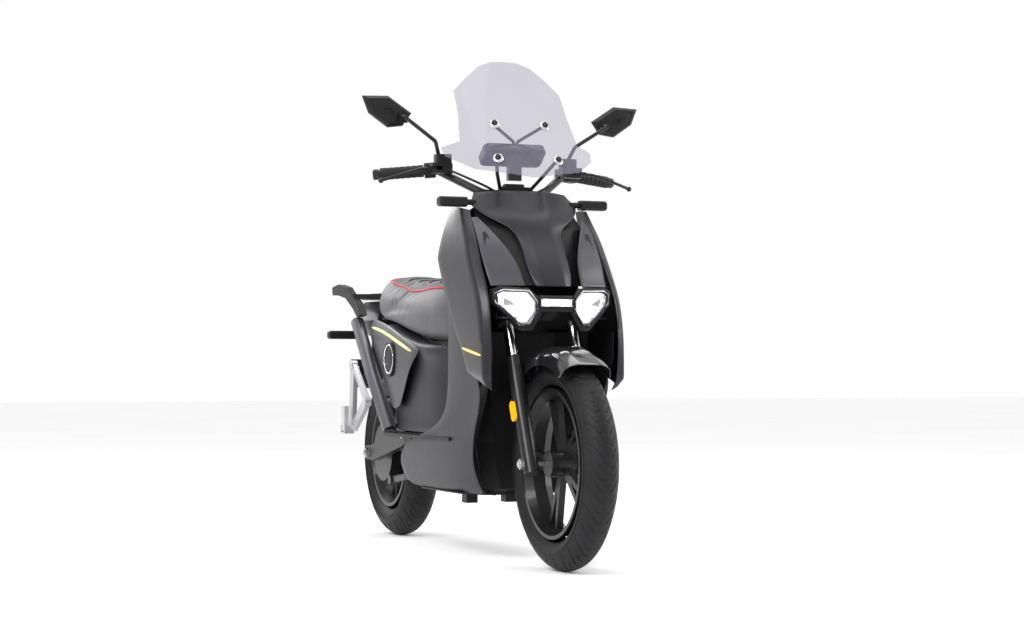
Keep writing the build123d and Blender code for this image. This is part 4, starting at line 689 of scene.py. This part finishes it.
def front_mudguard():
    """Gloss mudguard with a raised twin-ridge spine and a swept front lip."""
    rows = []
    for step in range(13):
        turn = math.radians(60 - 92 * step / 12)
        drop = 40
        half = [(MUDGUARD_HALF_WIDTH, MUDGUARD_R - drop), (70, MUDGUARD_R - 18), (60, MUDGUARD_R + 1),
                (33, MUDGUARD_R + 11), (13, MUDGUARD_R + 12)]
        lead = 0.0 if step < 12 else math.radians(1.5)
        row = []
        for x, r in half + [(-x, r) for x, r in half[::-1]]:
            ahead = turn - lead * (1 - abs(x) / MUDGUARD_HALF_WIDTH)
            row.append((x, FRONT_AXLE_Y + r * math.sin(ahead), FRONT_TYRE_R + r * math.cos(ahead)))
        rows.append(row)
    guard = grid("front_mudguard", rows, (3, 6), crease=0.5, wall=2.0)
    settle(guard, "gloss_black", "fork_sliders", ["front_fender"])


LAMP_CENTRE = (108, 703)               # X and Z of each lamp's middle


def lamps():
    """Lit reflectors, bright frames round the lenses, glowing bar between them."""
    mid_x, mid_z = LAMP_CENTRE
    lens = [(55, 712), (78, 740), (146, 742), (166, 733), (163, 709), (101, 648), (80, 648), (54, 684)]
    for sign, label in ((1, "left"), (-1, "right")):
        shrink = [(mid_x + (x - mid_x) * 0.9, mid_z + (z - mid_z) * 0.86) for x, z in lens]
        points = [(sign * x, lamp_face(x) + 9, z) for x, z in shrink]
        centre = (sign * mid_x, lamp_face(mid_x) + 14, mid_z)
        fan = [(i, (i + 1) % len(points), len(points)) for i in range(len(points))]
        if sign < 0:
            fan = [face[::-1] for face in fan]
        core = mesh_object(label + "_lamp_core", points + [centre], [face[::-1] for face in fan])
        settle(core, "lamp_core", "root")
        frame_path = [(sign * x, lamp_face(x) + 0.5, z) for x, z in lens]
        tube(label + "_lamp_frame", frame_path, 2.0, "steel", "root", 8, closed=True, smooth=False)
        brow = [(sign * 52, -619, 690), (sign * 76, -620, 650), (sign * 98, -617, 646),
                (sign * 128, -606, 674),
                (sign * 168, -590, 708)]
        tube(label + "_lamp_under_frame", brow, 2.2, "dark_plastic", "root", 8, smooth=False)
        line = [(sign * 106, -606, 668), (sign * 160, -584, 668)]
        tube(label + "_lamp_low_line", line, 1.2, "grey_panel", "root", 8)
    box = bmesh.new()
    bmesh.ops.create_cube(box, size=1)
    mesh = bpy.data.meshes.new("light_bar_glow")
    box.to_mesh(mesh)
    box.free()
    bar = bpy.data.objects.new("light_bar_glow", mesh)
    bpy.context.collection.objects.link(bar)
    bar.scale = (0.084, 0.004, 0.0145)
    bar.location = (0, -0.6205, 0.708)
    ease = bar.modifiers.new("ease", "BEVEL")
    ease.width = 0.1
    ease.segments = 3
    bake(bar)
    settle(bar, "glow", "root")
    frame_path = [(-46, -621.5, 699), (46, -621.5, 699), (46, -621.5, 717), (-46, -621.5, 717)]
    tube("light_bar_frame", frame_path, 1.6, "steel", "root", 8, closed=True, smooth=False)


def cockpit():
    """Silver screen clips, brake hoses, switch cables and mirror housings."""
    screen = NODES["windscreen"]
    back = screen.matrix_world.inverted()

    def on_screen(x, z):
        _, place, normal, _ = screen.ray_cast(back @ Vector((x * MM, -1.2, z * MM)),
                                              back.to_3x3() @ Vector((0, 1, 0)))
        return screen.matrix_world @ place / MM, normal

    for x, z in ((75, 1211), (-75, 1211), (89, 1109), (-89, 1109)):
        at, normal = on_screen(x, z)
        label = "screen_clip_%s_%s" % ("left" if x > 0 else "right", "top" if z > 1150 else "low")
        lathe(label, at + normal * 0.3, normal, [(15, 0), (15, 2.5), (12, 4), (8, 4), (7, 2.6), (5, 2.6),
                                                 (4.5, 5), (0.01, 5.4)],
              "steel", "steering", 40)
    for side, label in ((1, "left"), (-1, "right")):
        hose = [(side * 186, -262, 1092), (side * 150, -300, 1070), (side * 90, -326, 1040),
                (side * 40, -322, 1016)]
        tube(label + "_brake_hose", hose, 3.4, "black_plastic", "steering", 10)
        cable = [(side * 176, -214, 1080), (side * 130, -268, 1048), (side * 70, -300, 1028),
                 (side * 30, -296, 1008)]
        tube(label + "_switch_cable", cable, 2.6, "black_plastic", "steering", 10)
        outline = [(419, 1290), (345, 1293), (274, 1246), (300, 1210), (345, 1204), (400, 1242)]
        middle = (345, 1248)
        rows = []
        for share, y in ((0.22, -243), (0.55, -242.5), (0.82, -239), (0.98, -232), (1.0, -226),
                         (0.95, -223.2)):
            ring = [(side * (middle[0] + (x - middle[0]) * share), y, middle[1] + (z - middle[1]) * share)
                    for x, z in outline]
            rows.append(ring[::-1] if side < 0 else ring)
        shell = grid(label + "_mirror_shell", rows, sharp_rows=(4,), crease=0.5, wall=0, levels=3,
                     rounding=0, ring=True,
                     corners=[(r, c) for r in (3, 4, 5) for c in range(6)])
        settle(shell, "black_plastic", label + "_mirror")


def lamp_face(x):
    """Row Y of the lamps' front at a distance from the middle."""
    line = ((0, -621), (80, -617), (137, -603), (180, -580))
    for (x0, y0), (x1, y1) in zip(line, line[1:]):
        if abs(x) <= x1:
            return y0 + (y1 - y0) * (abs(x) - x0) / (x1 - x0)
    return line[-1][1]


# ---------------------------------------------------------------- seat
SEAT_STATIONS = [  # row Y, then half width and height of bottom edge, flank, shoulder; crown height
    (-99, (62, 613), (76, 655), (58, 690), 698),
    (-68, (92, 614), (108, 674), (84, 728), 742),
    (-12, (112, 614), (125, 700), (97, 768), 783),
    (110, (133, 619), (138, 702), (104, 776), 786),
    (250, (138, 644), (140, 714), (104, 774), 782),
    (390, (138, 674), (138, 736), (98, 786), 794),
    (500, (131, 686), (130, 750), (92, 803), 811),
    (588, (112, 697), (110, 762), (80, 815), 822),
    (618, (84, 706), (86, 764), (66, 802), 808)]


CLOTH_STEPS = 20
MOST_PUFF = 16                         # furthest a point of the cushion may move


def seat():
    """Long saddle blown up by cloth pressure; seat_trim adds its dark insert and red piping."""
    rows = []
    for y, low, flank, shoulder, crown in SEAT_STATIONS:
        half = [(low[0] * 0.6, low[1]), low, flank, shoulder, (shoulder[0] * 0.5, crown - 1)]
        rows.append([(x, y, z) for x, z in half] + [(0, y, crown)] + [(-x, y, z) for x, z in half[::-1]])
    width = len(rows[0])
    points = [p for row in rows for p in row]
    faces = []
    for r in range(len(rows) - 1):
        for c in range(width):
            d = (c + 1) % width
            faces.append((r * width + c, (r + 1) * width + c, (r + 1) * width + d, r * width + d))
    faces.append(tuple(range(width)))
    faces.append(tuple(range((len(rows) - 1) * width, len(rows) * width))[::-1])
    item = mesh_object("seat_cushion_cover", points, faces)
    face_outward(item)
    soften = item.modifiers.new("soften", "SUBSURF")
    soften.levels = soften.render_levels = 2
    bake(item)
    blow_up(item, MOST_PUFF)
    settle(item, "seat_vinyl", "seat", ["seat_cushion"])
    return item


def blow_up(item, cap):
    """Voxel remesh, then a short cloth run under pressure; no point moves further than cap."""
    remesh = item.modifiers.new("even", "REMESH")
    remesh.mode = "VOXEL"
    remesh.voxel_size = 0.006
    bake(item)
    start = [v.co.copy() for v in item.data.vertices]
    cloth = item.modifiers.new("puff", "CLOTH")
    cloth.settings.quality = 5
    cloth.settings.mass = 0.3
    cloth.settings.tension_stiffness = 30
    cloth.settings.compression_stiffness = 30
    cloth.settings.bending_stiffness = 5
    cloth.settings.use_pressure = True
    cloth.settings.uniform_pressure_force = 4
    cloth.settings.effector_weights.gravity = 0
    cloth.point_cache.frame_start = 1
    cloth.point_cache.frame_end = CLOTH_STEPS
    for step in range(1, CLOTH_STEPS + 1):
        bpy.context.scene.frame_set(step)
    bake(item)
    bpy.context.scene.frame_set(1)
    for vertex, home in zip(item.data.vertices, start):
        move = vertex.co - home
        floor_share = 0.25 if home.z < 0.7 else 1.0
        if move.length > cap * MM * floor_share:
            vertex.co = home + move.normalized() * cap * MM * floor_share
    soften = item.modifiers.new("smooth", "SMOOTH")
    soften.factor = 0.5
    soften.iterations = 6
    finer = item.modifiers.new("finer", "SUBSURF")
    finer.levels = finer.render_levels = 1
    bake(item)
    for face in item.data.polygons:
        face.use_smooth = True


def seat_trim(cushion):
    """Dark grained insert over the saddle's top and the red piping round it."""
    bpy.context.view_layer.update()
    cast = cushion.matrix_world.inverted()

    def on_seat(x, y, lift):
        _, place, _, _ = cushion.ray_cast(cast @ Vector((x * MM, y * MM, 1.2)),
                                          cast.to_3x3() @ Vector((0, 0, -1)))
        spot = cushion.matrix_world @ place
        return (x, y, spot.z / MM + lift)

    outline = [(-30, 72), (60, 90), (180, 96), (300, 94), (400, 88), (500, 84), (578, 66)]
    steps = []
    for (y0, w0), (y1, w1) in zip(outline, outline[1:]):
        for k in range(5):
            steps.append((y0 + (y1 - y0) * k / 5, w0 + (w1 - w0) * k / 5))
    steps.append(outline[-1])
    rows = [[on_seat(w * share, y, 1.6) for share in (-1, -0.75, -0.5, -0.25, 0, 0.25, 0.5, 0.75, 1)]
            for y, w in steps]
    insert = grid("seat_top_insert", rows, wall=2.4, levels=1, rounding=0.8)
    settle(insert, "seat_dark", "seat")
    rim = [row[0] for row in rows] + rows[-1][1:-1] + [row[-1] for row in rows[::-1]] + rows[0][-2:0:-1]
    edge = [(x, y, z + 0.4) for x, y, z in rim]
    tube("seat_red_piping", edge, 2.6, "red", "seat", 10, closed=True, smooth=False)
    for y in (395, 300, 205, 110, 30):
        seam = [on_seat(x, y + abs(x) * 0.25, 1.9) for x in range(-64, 65, 8)]
        tube("seat_channel_%d" % y, seam, 1.6, "seat_dark", "seat", 8, smooth=False)


make_camera()
make_studio()
paint_cad_nodes()
front_body()
lower_body()
tyre("front_tyre_tread", FRONT_AXLE_Y, FRONT_TYRE_R, 50, FRONT_BEAD_R, "front_wheel", "front_tyre")
tyre("rear_tyre_tread", REAR_AXLE_Y, REAR_TYRE_R, 55, REAR_BEAD_R, "rear_wheel", "rear_tyre")
front_mudguard()
lamps()
cockpit()
seat_trim(seat())
